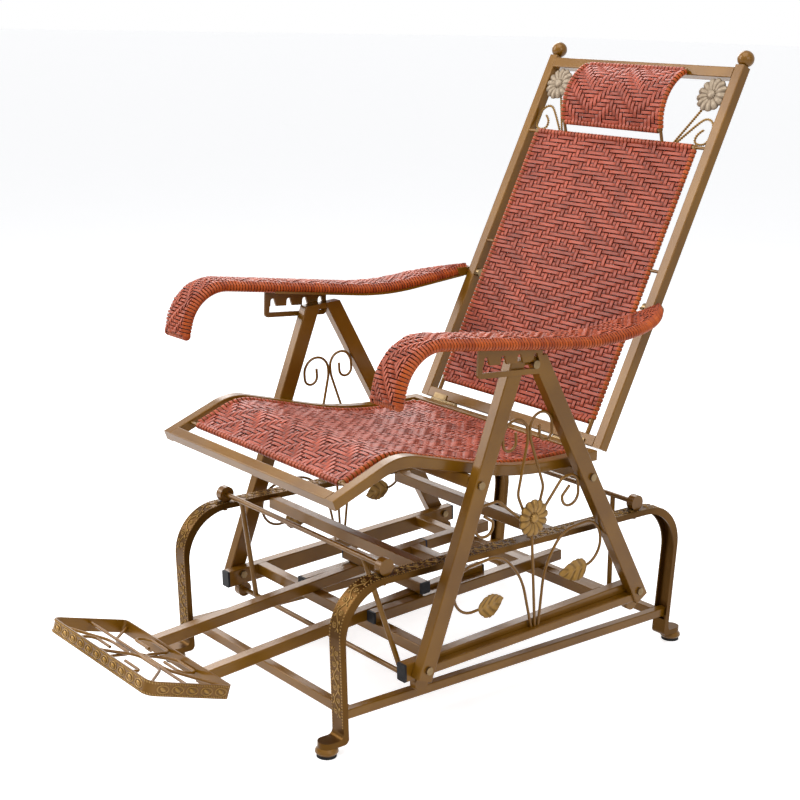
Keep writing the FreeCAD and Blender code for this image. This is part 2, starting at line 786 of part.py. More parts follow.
def flower(radius, height):
    """A daisy with round petals and a button, facing +Z from its back at the origin."""
    def lobes(reach, z):
        edges = []
        for k in range(flower_petals):
            angles = [2 * math.pi * (k + part) / flower_petals for part in (-0.5, 0.0, 0.5)]
            radii = (0.86 * reach, reach, 0.86 * reach)
            points = [
                FreeCAD.Vector(r * math.cos(a), r * math.sin(a), z) for r, a in zip(radii, angles)
            ]
            edges.append(Part.Arc(*points).toShape())
        return Part.Wire(edges)
    petals = Part.makeLoft([lobes(radius, 0), lobes(0.72 * radius, height)], True, True)
    button = Part.makeSphere(0.28 * radius, FreeCAD.Vector(0, 0, height - 0.1 * radius))
    behind = Part.makeBox(2 * radius, 2 * radius, radius, FreeCAD.Vector(-radius, -radius, -radius))
    return petals.fuse(button.cut(behind))


daisy = flower(flower_radius, flower_height)
daisy.rotate(FreeCAD.Vector(), FreeCAD.Vector(0, 1, 0), 90)
daisy.translate(vector(scroll_x + flower_back, scroll.at(flower_along, 0)))
keep("side_flowers", *pair(daisy))

# Seat: two bent rails, a front and a rear bar, and a woven panel on rods
seat_rear_y = hinge[0] - hinge_radius
seat_path = [seat_front, seat_crest, seat_dip, (seat_rear_y, seat_dip[1])]
seat_radii = [seat_crest_bend, seat_dip_bend]
seat_rail = strip(seat_path, seat_radii, 0, seat_depth, seat_in, seat_outer_x)
long_edges = [
    e for e in seat_rail.Edges
    if e.BoundBox.XLength < 1e-6 and e.Length > 2 * seat_depth
]
seat_rail = seat_rail.makeFillet(tube_round, long_edges)
keep_sides("seat_rail", seat_rail)
seat_nose_way = direction(seat_front, seat_crest)
seat_nose = Axes(seat_front, math.degrees(math.atan2(seat_nose_way[1], seat_nose_way[0])))
keep("seat_front_bar", seat_nose.bar((0, tube), (-seat_depth, 0), (-seat_in, seat_in), "x"))
seat_tail = Axes((seat_rear_y, seat_dip[1]), 0.0)
keep("seat_rear_bar", seat_tail.bar((-tube, 0), (-seat_depth, 0), (-seat_in, seat_in), "x"))

panel_path, panel_radii = offset_path(seat_path, seat_radii, -seat_panel_drop)
nose_way = direction(panel_path[0], panel_path[1])
panel_path[0] = (
    panel_path[0][0] + seat_panel_front * nose_way[0], panel_path[0][1] + seat_panel_front * nose_way[1]
)
panel_path[-1] = (panel_path[-1][0] - seat_panel_rear, panel_path[-1][1])
seat_side_rod = side_pipe(panel_path, panel_radii, panel_rod, seat_panel_half)
seat_rods = pair(seat_side_rod)
for end in (panel_path[0], panel_path[-1]):
    rod = cross_rod(end, panel_rod, -seat_panel_half, seat_panel_half)
    seat_rods.append(largest(rod.cut(seat_side_rod).cut(mirrored(seat_side_rod))))
seat_weave = strip(
    panel_path, panel_radii, panel_thickness / 2, panel_thickness / 2, -seat_panel_half, seat_panel_half
)


def zigzag_groove(front_y):
    """The plan of one folded groove of the seat's twill, upright through the seat."""
    folds = math.ceil(seat_panel_half / seat_rib_fold)
    line = [(k * seat_rib_fold, front_y + (k % 2) * seat_rib_fold) for k in range(-folds, folds + 1)]
    width = (1 - rib_share) * seat_rib_pitch
    loop = line + [(x, y + width) for x, y in reversed(line)]
    face = Part.Face(Part.makePolygon([FreeCAD.Vector(x, y, 0) for x, y in loop + loop[:1]]))
    return face.extrude(FreeCAD.Vector(0, 0, 2 * seat_crest[1]))


first_groove_y = seat_front[0] - seat_rib_fold
groove_count = math.ceil((seat_rear_y - first_groove_y) / seat_rib_pitch)
groove_places = [first_groove_y + k * seat_rib_pitch for k in range(groove_count)]
seat_grooves = Part.makeCompound([zigzag_groove(front_y) for front_y in groove_places])
groove_floor = panel_thickness / 2 - rib_depth
for outside, inside in ((panel_thickness, -groove_floor), (-groove_floor, panel_thickness)):
    layer = strip(panel_path, panel_radii, outside, inside, -seat_panel_half, seat_panel_half)
    seat_weave = seat_weave.cut(layer.common(seat_grooves))
seat_weave = largest(seat_weave.cut(Part.makeCompound(seat_rods)))
keep("seat_weave", seat_weave)
lug_points = [
    panel_path[0],
    corner_arc(*panel_path[0:3], panel_radii[0])[1],
    corner_arc(*panel_path[1:4], panel_radii[1])[1],
    panel_path[-1],
]
seat_lugs = []
for point in lug_points:
    lug = cross_rod(point, lug_radius, seat_panel_half, seat_in)
    seat_lugs += pair(largest(lug.cut(seat_side_rod).cut(seat_weave)))
keep("seat_panel_rods", *(seat_rods + seat_lugs))

# Barrel hinges between the seat and the back
hinge_mid_x = (hinge_inner_x + hinge_outer_x) / 2
seat_barrel = cross_rod(hinge, hinge_radius, hinge_inner_x, hinge_mid_x - weld_gap)
hinge_pin_end = hinge_outer_x - cup_wall
seat_barrel = seat_barrel.fuse(cross_rod(hinge, hinge_pin_radius, hinge_inner_x, hinge_pin_end))
keep("seat_hinge_barrels", *pair(seat_barrel))

# Back: two uprights with ball finials, cross bars, a woven panel and a headrest
back = Axes(back_corner, back_angle)
pivot = back.at(arm_pivot_along, -tube / 2)
pivot_hole = cross_rod(pivot, arm_pivot_radius + weld_gap, back_in - cut_over, back_outer_x + cut_over)
upright = back.bar((0, back_length), (-tube, 0), (back_in, back_outer_x), "u").cut(pivot_hole)
keep_sides("back_upright", upright)
ball_center = back.at(back_length + finial_radius - cup_seat, -tube / 2)
ball = Part.makeSphere(finial_radius, vector(back_outer_x - tube / 2, ball_center))
keep("finials", *pair(ball.cut(upright)))
back_bottom = back.bar((0, tube), (-tube, 0), (-back_in, back_in), "x")
back_top = back.bar((top_bar_along, top_bar_along + tube), (-tube, 0), (-back_in, back_in), "x")
keep("back_bottom_bar", back_bottom)
keep("back_top_bar", back_top)

leaf_thin = hinge_radius / 2
barrel_in = hinge_mid_x + weld_gap
back_barrel = cross_rod(hinge, hinge_radius, barrel_in, hinge_outer_x)
hinge_along = (
    (hinge[0] - back_corner[0]) * back.along[0] + (hinge[1] - back_corner[1]) * back.along[1]
)
hinge_leaf = [
    back.at(hinge_along, 0), back.at(tube / 2, 0), back.at(tube / 2, leaf_thin),
    back.at(hinge_along, leaf_thin),
]
back_barrel = back_barrel.fuse(prism(hinge_leaf, barrel_in, hinge_outer_x))
hinge_bore = cross_rod(hinge, hinge_pin_radius + pin_slack, barrel_in - cut_over, hinge_pin_end + cut_over)
back_barrel = back_barrel.cut(hinge_bore)
keep("back_hinge_barrels", *pair(back_barrel.cut(back_bottom)))

panel_w = -panel_rod
back_side_rod = round_rod(
    vector(back_panel_half, back.at(tube, panel_w)),
    vector(back_panel_half, back.at(back_panel_high, panel_w)),
    panel_rod,
)
back_rods = pair(back_side_rod)
for along in (back_panel_low, back_panel_high - panel_rod):
    rod = cross_rod(back.at(along, panel_w), panel_rod, -back_panel_half, back_panel_half)
    back_rods.append(largest(rod.cut(back_side_rod).cut(mirrored(back_side_rod))))
back_corners = [
    back.at(back_panel_low, panel_w - panel_thickness / 2),
    back.at(back_panel_high - panel_rod, panel_w - panel_thickness / 2),
    back.at(back_panel_high - panel_rod, panel_w + panel_thickness / 2),
    back.at(back_panel_low, panel_w + panel_thickness / 2),
]


def on_back(x, along, rise):
    """A point in space on the back, by its place across, along and in front."""
    return vector(x, back.at(along, rise))


def folded_groove(apex, turn, rise):
    """One groove of the back's twill, folded at the panel's centre line; turn says which way it falls."""
    middle = back_rib_centre[0]
    fall = turn * back_rib_slope
    line = [
        (-back_panel_half, apex - fall * (back_panel_half + middle)), (middle, apex),
        (back_panel_half, apex - fall * (back_panel_half - middle)),
    ]
    width = turn * (1 - rib_share) * back_rib_pitch
    loop = line + [(x, along + width) for x, along in reversed(line)]
    face = Part.Face(Part.makePolygon([on_back(x, along, rise) for x, along in loop + loop[:1]]))
    return face.extrude(on_back(0, 0, panel_thickness) - on_back(0, 0, 0))


def back_grooves(rise):
    """Grooves in concentric diamonds from a level outwards, over the whole panel."""
    halves = []
    fold_along = back_rib_centre[1] * back_panel_high
    count = math.ceil(2 * back_panel_high / back_rib_pitch)
    for turn, ends in ((1, (fold_along, back_length)), (-1, (0, fold_along))):
        grooves = [folded_groove(fold_along + turn * k * back_rib_pitch, turn, rise) for k in range(count)]
        corners = [
            back.at(ends[0], -tube), back.at(ends[1], -tube), back.at(ends[1], tube), back.at(ends[0], tube),
        ]
        half = prism(corners, -back_panel_half, back_panel_half)
        halves.append(half.common(Part.makeCompound(grooves)))
    return halves[0].fuse(halves[1]).removeSplitter()


back_weave = prism(back_corners, -back_panel_half, back_panel_half)
for rise in (panel_w + groove_floor, panel_w - groove_floor - panel_thickness):
    back_weave = back_weave.cut(back_grooves(rise))
back_weave = back_weave.cut(Part.makeCompound(back_rods))
keep("back_weave", largest(back_weave))
for along in (back_lug_share * back_panel_high, back_panel_high - panel_rod):
    lug = cross_rod(back.at(along, panel_w), lug_radius, back_panel_half, back_in)
    back_rods += pair(largest(lug.cut(back_side_rod)))
center_lug = round_rod(
    vector(0, back.at(tube, panel_w)), vector(0, back.at(back_panel_low - panel_rod, panel_w)), lug_radius
)
back_rods.append(center_lug)
keep("back_panel_rods", *back_rods)

head_low = back.at(headrest_low, headrest_rise_low)
head_mid = back.at((headrest_low + headrest_high) / 2, headrest_bulge)
head_high = back.at(headrest_high, panel_rod)
head_circle = Part.Arc(vector(0, head_low), vector(0, head_mid), vector(0, head_high)).toShape().Curve
head_center = (head_circle.Center.y, head_circle.Center.z)
head_radius = head_circle.Radius


def head_point(spot, radius):
    """A point on a circle round the headrest's centre, in line with another point."""
    way = direction(head_center, spot)
    return (head_center[0] + radius * way[0], head_center[1] + radius * way[1])


def head_curve(x, radius):
    spots = [vector(x, head_point(spot, radius)) for spot in (head_low, head_mid, head_high)]
    return Part.Arc(*spots).toShape()


outer_radius = head_radius + panel_thickness / 2
inner_radius = head_radius - panel_thickness / 2
head_edges = [head_curve(-headrest_half, outer_radius), head_curve(-headrest_half, inner_radius)]
for spot in (head_low, head_high):
    ends = [vector(-headrest_half, head_point(spot, r)) for r in (outer_radius, inner_radius)]
    head_edges.append(Part.LineSegment(*ends).toShape())
head_face = Part.Face(Part.Wire(Part.__sortEdges__(head_edges)))
headrest = head_face.extrude(FreeCAD.Vector(2 * headrest_half, 0, 0))
head_side = pipe([head_curve(headrest_half, head_radius)], panel_rod)
head_rods = pair(head_side)
for spot in (head_low, head_high):
    rod = cross_rod(spot, panel_rod, -headrest_half, headrest_half)
    head_rods.append(largest(rod.cut(head_side).cut(mirrored(head_side))))
keep("headrest_weave", largest(headrest.cut(Part.makeCompound(head_rods))))
head_foot = back.at(back_panel_high - panel_rod, panel_w)
for x in (-headrest_half, headrest_half):
    lug = round_rod(vector(x, head_foot), vector(x, head_low), lug_radius)
    head_rods.append(largest(lug.cut(Part.makeCompound(back_rods + head_rods))))
keep("headrest_rods", *head_rods)

stem_rise = -tube / 2
stem_lift = lambda point: on_back(point[0], point[1], stem_rise)
stem_points = [(stem_foot_x, back_panel_high), (back_flower_x, back_flower_along)]
hook_points = [(stem_foot_x + hook_start, back_panel_high)]
hook_points += [(back_flower_x + x, back_flower_along + along) for x, along in hook_path]
stem_pipe = pipe(rounded_edges(stem_points, [], stem_lift), stem_wire)
hook_pipe = pipe(rounded_edges(hook_points, hook_bends, stem_lift), stem_wire)
back_daisy = flower(flower_radius, flower_height)
back_daisy.rotate(FreeCAD.Vector(), FreeCAD.Vector(1, 0, 0), back_angle)
back_daisy.translate(on_back(back_flower_x, back_flower_along, stem_rise + stem_wire + weld_gap))
back_daisy = back_daisy.cut(upright)
keep("back_flowers", *pair(largest(back_daisy)))
stem_pipe = largest(stem_pipe.cut(Part.makeCompound(back_rods)))
hook_pipe = largest(hook_pipe.cut(Part.makeCompound(back_rods + [stem_pipe])))
keep("back_stems", *(pair(stem_pipe) + pair(hook_pipe)))

# Arm pivots: a bolt through each upright with a wing nut inside
lug_in = back_outer_x + lug_slack
lug_out = lug_in + strap
pivot_bolt = cross_rod(pivot, arm_pivot_radius, back_in - strap, lug_out + slide_slack)
pivot_bolt = pivot_bolt.fuse(cross_rod(pivot, 2 * arm_pivot_radius, lug_out + slide_slack, lug_out + strap))
wing = Part.makeBox(
    2 * strap, 6 * arm_pivot_radius, strap,
    FreeCAD.Vector(back_in - 2 * strap, pivot[0] - 3 * arm_pivot_radius, pivot[1] - strap / 2),
)
wing_hub = cross_rod(pivot, 2 * arm_pivot_radius, back_in - 2 * strap, back_in)
pivot_bolt = pivot_bolt.fuse(wing_hub).fuse(wing).removeSplitter()
keep("arm_pivot_bolts", *pair(pivot_bolt))

# Arms: a woven pad on a strap with a lug at the pivot and a notched rack at the front leg
arm_path = [arm_tip, arm_shoulder, arm_valley, arm_rear]
arm_radii = [arm_shoulder_bend, arm_valley_bend]
arm_reach = arm_rear[0] - arm_tip[0]


def arm_edge(base_x, y):
    """Where a long edge of the arm is across the chair: it flares outwards to the front."""
    return base_x + arm_flare * (arm_rear[0] - y) / arm_reach


arm_end_x = arm_inner_x + arm_end_width
taper_span = arm_rear[0] - arm_taper_start
taper_mid_y = arm_taper_start + taper_span / 2
taper_mid_x = arm_outer_x - arm_taper_bulge * (arm_outer_x - arm_end_x)
arm_nose_y = arm_tip[0] - tube
plan_corners = [
    FreeCAD.Vector(arm_end_x, arm_rear[0], 0), FreeCAD.Vector(arm_inner_x, arm_rear[0], 0),
    FreeCAD.Vector(arm_edge(arm_inner_x, arm_nose_y), arm_nose_y, 0),
    FreeCAD.Vector(arm_edge(arm_outer_x, arm_nose_y), arm_nose_y, 0),
    FreeCAD.Vector(arm_edge(arm_outer_x, arm_taper_start), arm_taper_start, 0),
]
arm_taper = Part.Arc(plan_corners[-1], FreeCAD.Vector(taper_mid_x, taper_mid_y, 0), plan_corners[0]).toShape()
plan_edges = Part.makePolygon(plan_corners).Edges + [arm_taper]
arm_plan = Part.Face(Part.Wire(Part.__sortEdges__(plan_edges))).extrude(FreeCAD.Vector(0, 0, 2 * arm_rear[1]))
arm_pad = strip(arm_path, arm_radii, 0, arm_thickness, arm_inner_x, arm_outer_x + 2 * arm_flare)
arm_pad = largest(arm_pad.common(arm_plan))

under_path, under_radii = offset_path(arm_path, arm_radii, -arm_thickness)
upright_way = (0, 1)
strap_start = meet(under_path[1], direction(under_path[1], under_path[2]), (rack_front_y, 0), upright_way)
strap_rear = (pivot[0] - 4 * arm_pivot_radius, 0)
strap_end = meet(under_path[2], direction(under_path[2], under_path[3]), strap_rear, upright_way)
strap_path = [strap_start, under_path[2], strap_end]
arm_strap = strip(strap_path, under_radii[1:], strap, 0, lug_in, lug_in + strap_width)
arm_strap = largest(arm_strap.common(arm_plan))
rack_in = leg_out + rack_gap
rack_out = rack_in + rack_plate
shelf_way = direction(strap_path[0], strap_path[1])
shelf = Axes(strap_path[0], math.degrees(math.atan2(shelf_way[1], shelf_way[0])))
rack_length = rack_rear_y - rack_front_y
shelf_plate = prism(
    [shelf.at(0, 0), shelf.at(rack_length, 0), shelf.at(rack_length, strap), shelf.at(0, strap)],
    lug_in, rack_out,
)
shelf_plate = largest(shelf_plate.common(arm_plan))
rack = Axes((rack_pin[0], rack_lane_z), math.degrees(math.atan(rack_slope)))
lane_front = rack_front_y - rack_pin[0] + rack_border
lane_rear = rack_rear_y - rack_pin[0] - rack_border
rack_sheet = prism(
    [rack.at(lane_front - rack_border, -rack_lane / 2 - rack_border),
     rack.at(lane_rear + rack_border, -rack_lane / 2 - rack_border),
     shelf.at(rack_length, 0), shelf.at(0, 0)],
    rack_in, rack_out,
)
rack_corners = [
    e for e in rack_sheet.Edges if e.BoundBox.XLength > rack_plate / 2 and e.BoundBox.ZMax < rack_lane_z
]
rack_sheet = rack_sheet.makeFillet(rack_corner, rack_corners)
hole_in = rack_in - cut_over
hole_out = rack_out + cut_over
rack_holes = prism(
    [rack.at(lane_front, -rack_lane / 2), rack.at(lane_rear, -rack_lane / 2),
     rack.at(lane_rear, rack_lane / 2), rack.at(lane_front, rack_lane / 2)],
    hole_in, hole_out,
)
for k in range(4):
    notch = Axes(rack.at(-k * notch_pitch, rack_lane / 2), rack.degrees)
    slot = prism(
        [notch.at(-notch_width / 2, -cut_over), notch.at(notch_width, -cut_over),
         notch.at(notch_width / 2, notch_height - notch_width / 2),
         notch.at(-notch_width / 2, notch_height - notch_width / 2)],
        hole_in, hole_out,
    )
    crown = cross_rod(notch.at(0, notch_height - notch_width / 2), notch_width / 2, hole_in, hole_out)
    rack_holes = rack_holes.fuse(slot).fuse(crown)
rack_sheet = rack_sheet.cut(rack_holes)
lug_plate = prism(
    [(pivot[0] + 2 * arm_pivot_radius, pivot[1] - 2 * arm_pivot_radius),
     (pivot[0] - 4 * arm_pivot_radius, pivot[1] - 2 * arm_pivot_radius),
     (pivot[0] - 8 * arm_pivot_radius, pivot[1] - arm_pivot_radius),
     (pivot[0] - 8 * arm_pivot_radius, pivot[1] + 2 * arm_pivot_radius),
     (pivot[0] + 2 * arm_pivot_radius, pivot[1] + 2 * arm_pivot_radius)],
    lug_in, lug_out,
)
arm_frame = arm_strap.fuse(shelf_plate).fuse(rack_sheet).fuse(lug_plate).removeSplitter()
lug_bore = cross_rod(pivot, arm_pivot_radius + pin_slack, lug_in - cut_over, lug_out + cut_over)
arm_frame = largest(arm_frame.cut(lug_bore))
head_end = lug_out + strap + slide_slack
bolt_room = cross_rod(pivot, 2 * arm_pivot_radius + slide_slack, lug_in - strap, head_end)
arm_pad = largest(arm_pad.cut(arm_frame).cut(bolt_room))
keep_sides("arm_frame", arm_frame)
keep_sides("arm_weave", arm_pad)

# Footrest: two runners with a cross tie, and a rimmed scrollwork pad
runner_seat = chassis.at(cross_front, rail_high + slide_slack)
runner = Axes(runner_seat, runner_slope)
runner_ends = (runner_front, runner_rear - cap_thickness)
runner_width = (runner_x, runner_x + tube)
runner_bar = runner.bar(runner_ends, (0, tube), runner_width, "u")


def rim_loop(inset):
    """The footrest's rounded outline, drawn in plan with its rear edge at zero."""
    front = rim_front_half - inset
    rear = rim_rear_half - inset
    nose = inset - rim_length
    loop = [(0, -inset), (rear, -inset), (front, nose), (-front, nose), (-rear, -inset), (0, -inset)]
    bends = [rim_rear_bend - inset, rim_front_bend - inset, rim_front_bend - inset, rim_rear_bend - inset]
    return Part.Face(Part.Wire(rounded_edges(loop, bends, lambda p: FreeCAD.Vector(p[0], p[1], 0))))


def on_pad(shape):
    """Tilt a shape drawn in plan to the footrest's pad."""
    shape.rotate(FreeCAD.Vector(), FreeCAD.Vector(1, 0, 0), -rim_tilt)
    shape.translate(vector(0, rim_rear))
    return shape


rim = rim_loop(0).cut(rim_loop(rim_wall)).extrude(FreeCAD.Vector(0, 0, -rim_height))
rim = on_pad(rim)
rim_room = on_pad(rim_loop(rim_wall / 2).extrude(FreeCAD.Vector(0, 0, -2 * rim_height)))
runner_bar = largest(runner_bar.cut(rim).cut(rim_room))
runner_tie = runner.bar(
    (runner_rear - 2 * tube, runner_rear - tube), (0, tube), (-runner_x, runner_x), "x"
)
keep("footrest_runners", *(pair(runner_bar) + [runner_tie]))
runner_cap = runner.bar((runner_rear - cap_thickness, runner_rear), (0, tube), runner_width, "u")
keep("footrest_caps", *pair(runner_cap))
keep("footrest_rim", rim)

pad_edge = rim_length / 2 - rim_wall - pad_wire - weld_gap
pad_spine = 2 * pad_wire + weld_gap
pad_scroll = [
    pad_scroll_corner, (pad_scroll_knee, pad_spine), (pad_scroll_turn, pad_spine),
    (pad_scroll_back, pad_edge), (pad_scroll_end, pad_edge), (pad_scroll_end, pad_scroll_eye[1]),
    pad_scroll_eye,
]


def pad_wire_shape(points, radii, side, end, drop):
    """A wire of the footrest, drawn out to one side and one end of its middle, below the rim's top."""
    lift = lambda p: FreeCAD.Vector(side * p[0], end * p[1] - rim_length / 2, -drop)
    return largest(on_pad(pipe(rounded_edges(points, radii, lift), pad_wire)).cut(rim))


pad_wires = [pad_wire_shape([(-rim_rear_half, 0), (rim_rear_half, 0)], [], 1, 1, pad_wire_drop)]
pad_under_drop = pad_wire_drop + 2 * pad_wire + weld_gap
for side, drop in ((1, pad_wire_drop), (-1, pad_under_drop)):
    for end in (-1, 1):
        pad_wires.append(pad_wire_shape(pad_scroll, pad_scroll_bends, side, end, drop))
keep("footrest_scrolls", *pad_wires)

# The origin is on the floor, midway between the footrest's front and the finials' rear
front_reach_y = min(shape.BoundBox.YMin for shape in nodes.values())
rear_reach_y = max(shape.BoundBox.YMax for shape in nodes.values())
middle_y = (front_reach_y + rear_reach_y) / 2
os.makedirs("parts", exist_ok=True)
for name, shape in nodes.items():
    shape.translate(FreeCAD.Vector(0, -middle_y, 0))
    shape.exportStep("parts/" + name + ".step")
print("nodes", len(nodes), "origin moved by", round(-middle_y, 3))
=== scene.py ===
import json
import math

import bmesh
import bpy
import numpy as np
from mathutils import Matrix, Vector


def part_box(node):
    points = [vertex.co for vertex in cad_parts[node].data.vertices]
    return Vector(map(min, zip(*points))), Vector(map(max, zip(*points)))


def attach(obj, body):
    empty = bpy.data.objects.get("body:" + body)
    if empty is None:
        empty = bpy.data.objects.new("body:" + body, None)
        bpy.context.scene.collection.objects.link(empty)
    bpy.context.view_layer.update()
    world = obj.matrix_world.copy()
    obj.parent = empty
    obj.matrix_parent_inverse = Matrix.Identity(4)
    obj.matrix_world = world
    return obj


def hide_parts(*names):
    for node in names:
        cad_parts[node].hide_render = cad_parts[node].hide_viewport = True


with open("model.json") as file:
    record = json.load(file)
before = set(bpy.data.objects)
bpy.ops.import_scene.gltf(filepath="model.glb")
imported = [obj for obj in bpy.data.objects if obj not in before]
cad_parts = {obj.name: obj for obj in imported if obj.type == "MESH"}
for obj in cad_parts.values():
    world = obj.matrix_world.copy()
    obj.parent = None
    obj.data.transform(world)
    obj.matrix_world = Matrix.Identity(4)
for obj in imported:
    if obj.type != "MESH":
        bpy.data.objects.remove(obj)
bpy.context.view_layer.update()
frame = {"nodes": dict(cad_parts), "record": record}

# Looks of a woven reclining glider chair. Lengths are metres, side-view points are (y, z) pairs.
# The chair is drawn about its own swing, then moved along Y to the place where the frame stands.

random = np.random.default_rng(7)

FOOT_MIDDLE_Y = 0.0085
pads_low, pads_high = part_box("foot_pads")
SHIFT_Y = (pads_low.y + pads_high.y) / 2 - FOOT_MIDDLE_Y

ACROSS = np.array([1.0, 0.0, 0.0])
# The two sides, and whether each is a mirror image
SIDES = (("left", False), ("right", True))

# Straps
ROD = 0.004
STRAP_THICKNESS = 0.0016
STRAP_LIFT = 0.0016
# A strap's section: width shares and height shares, round its edge from one side to the other and back
STRAP_SIDE = np.array([-1.0, -0.9, -0.6, -0.3, 0.0, 0.3, 0.6, 0.9, 1.0, 0.6, -0.6])
STRAP_RISE = np.array([0.0, 0.72, 1.0, 0.74, 1.0, 0.74, 1.0, 0.72, 0.0, -0.9, -0.9])
# Shares of the pitch for which a strap stays up over a crossing, and down under one
OVER_STAY = 0.29
UNDER_STAY = 0.45
# Widths as shares of the pitch: of cross straps and long straps on top, and of both below
CROSS_SPREAD = 0.80
LONG_SPREAD = 0.85
UNDER_SPREAD = 1.04
# What a crossing itself and each crossing beside it give to a strap's height there
CROSSING_SHARE = 0.6
BESIDE_SHARE = 0.2
# Round a rod: a strap's middle line, the angles of its rings, and where and how fast its warmer tone comes
WRAP_RADIUS = ROD + 0.6 * STRAP_THICKNESS
WRAP_TURNS = np.radians([152, 121, 90, 62, 34, 6, -22, -50, -78, -106, -134])
WRAP_START = math.radians(135)
WRAP_RATE = 0.8
# The share of that tone that long straps take
LONG_WARMTH = 0.5
# From the middle of a side rod to the outermost long strap
SIDE_ROOM = 1.1 * ROD

# Woven panels: counts of cross straps and long straps, the middle of the diamonds, and the folds of the twill
BACK_STRAPS = (64, 43)
BACK_MIDDLE = (35, 18)
SEAT_STRAPS = (60, 47)
SEAT_FOLD = (5, 2)
HEAD_STRAPS = (17, 27)
HEAD_FOLD = (7, 1)
DIAMOND_OVER = 5
DIAMOND_UNDER = 3
TWILL_OVER = 3
BACK_CORNER = (0.1737, 0.4098)
BACK_ANGLE = math.radians(64.5)
# The way that the back's front looks
BACK_FRONT = np.array([0, -math.sin(BACK_ANGLE), math.cos(BACK_ANGLE)])
BACK_PANEL = (0.042, 0.557)
BACK_HALF = 0.197
BACK_PLANE = -0.004
SEAT_POINTS = [(-0.400, 0.421), (-0.2708, 0.4732), (-0.021, 0.4095), (0.1645, 0.4095)]
SEAT_BENDS = [0.100, 0.700]
SEAT_DROP = 0.006
SEAT_TRIM = (0.045, 0.028)
SEAT_HALF = 0.206
SEAT_STEPS = 160
HEAD_HALF = 0.121
HEAD_LOW = (0.576, 0.012)
HEAD_MIDDLE = (0.636, 0.032)
HEAD_HIGH = (0.696, 0.004)
HEAD_STEPS = 40

# Arms
ARM_INNER_X = 0.243
ARM_OUTER_X = 0.313
ARM_FLARE = 0.014
ARM_END_X = 0.257
ARM_TAPER_Y = 0.150
ARM_POINTS = [(-0.348, 0.577), (-0.327, 0.669), (0.088, 0.624), (0.290, 0.6489)]
ARM_BENDS = [0.080, 0.600]
ARM_DEPTH = 0.0142
ARM_CROWN = 0.003
ARM_EDGE = 0.007
# The most of its half-width that the rounded edge takes at the narrow end
ARM_EDGE_SHARE = 0.9
ARM_TAPER_POWER = 2.3
ARM_WRAPS = 112
ARM_FOLD = 9
# Where the long straps lie across the top, as shares of its flat half-width
ARM_SLOT_COUNT = 11
ARM_SLOTS = (np.arange(ARM_SLOT_COUNT) + 0.5) / ARM_SLOT_COUNT * 2 - 1
ARM_EDGE_TURNS = np.radians(np.arange(75, -90, -15))
ARM_BOTTOM_STEPS = 7
# The straps fanned round each front corner, and their rings
ARM_FAN = np.radians(np.arange(8, 90, 16))
ARM_FAN_TURNS = np.radians(np.arange(90, -105, -15))
# How far the core lies inside the straps: on top, where its normals face up this much, and elsewhere
FACING_UP = 0.9
ARM_TOP_INSET = 2.0 * STRAP_THICKNESS
ARM_INSET = 0.5 * STRAP_THICKNESS
# How soon after the start of the taper the core is bare and no longer painted as shade
ARM_BARED = 0.06
# The arms' straps rise and dip more than those of the panels
ARM_RELIEF = 1.5
# How far the arms' upper faces go towards the warmer tone, and how near to the edges the rest of it comes
ARM_WARMTH = 0.3
ARM_WARMTH_POWER = 4

# Ornament
SCROLL_FOOT = (0.007, 0.1351)
SCROLL_LEAN = math.radians(95.7)
SCROLL_X = 0.270
SIDE_FLOWER = (0.2726, 0.197)
LEAF_STALK = (0.124, 0.072)
LEAF_LENGTH = 0.060
LEAF_WIDTH = 0.037
LEAF_LEAST_HALF = 0.0005
LEAF_THICKNESS = 0.0018
LEAF_RAISE = 0.0010
LEAF_STEPS = (41, 17)
# Powers that set where the leaf is widest and how full it is
LEAF_LEAN = 0.72
LEAF_FULLNESS = 0.8
LEAF_TEETH = 6
LEAF_TOOTH = 0.10
LEAF_LAST_TOOTH = 0.93
LEAF_VEINS = 4
VEIN_HEIGHT = 0.0011
VEIN_SLANT = 1.1
VEIN_FADE = 0.3
VEIN_SHADE = 0.6
VEIN_CONTRAST = 2.2
RIB_HEIGHT = 0.0016
RIB_WIDTH = 0.0018
LEAF_CUP = 0.004
LEAF_CUP_POWER = 1.5
LEAF_DROOP = 0.006
FLOWER_RADIUS = 0.032
FLOWER_PETALS = 13
PETAL_STEPS = 12
PETAL_NOTCH = 0.12
PETAL_ROUNDNESS = 0.5
PETAL_FOLD = 0.0022
PETAL_FOLD_POWER = 0.7
# How fast the petals' folds fade towards the button
FOLD_FADE = (2.4, 0.5)
PETAL_CREASE = 0.0008
# Where a petal's middle line is creased, as a share of its lobe
PETAL_MIDDLE = 0.985
PETAL_SHADE = 0.7
PETAL_SHADE_POWER = 0.6
# The flower's dish: shares of its radius with heights in front, and shares on its flat rear
DISH = ((1.0, 0.0015), (0.93, 0.0032), (0.78, 0.0052), (0.6, 0.0060), (0.42, 0.0052), (0.28, 0.0040))
DISH_REAR = (0.3, 0.96)
BUTTON_PLANE = 0.0045
BUTTON_BEADS = 14
BUTTON_BEAD_RING = 0.0088
BACK_FLOWER = (0.190, 0.657)
BACK_FLOWER_LIFT = 0.0027
STEM_PLANE = -0.010
STEM_FOOT = (0.139, 0.561)
STEM_KNEE = (0.026, 0.048)
STEM_WIRE = 0.00135
STEM_TWIST = 0.009
TWIST_STEPS = 8
STEM_STEPS = 14
HOOK_FOOT = 0.005
HOOK = [
    (-0.014, -0.057), (0.005, -0.041), (0.026, -0.052), (0.026, -0.088), (0.010, -0.094), (-0.006, -0.089),
    (-0.004, -0.072), (0.008, -0.064),
]
ARCH_X = 0.227
ARCH_HALF = 0.015
ARCH_FACE = 0.005
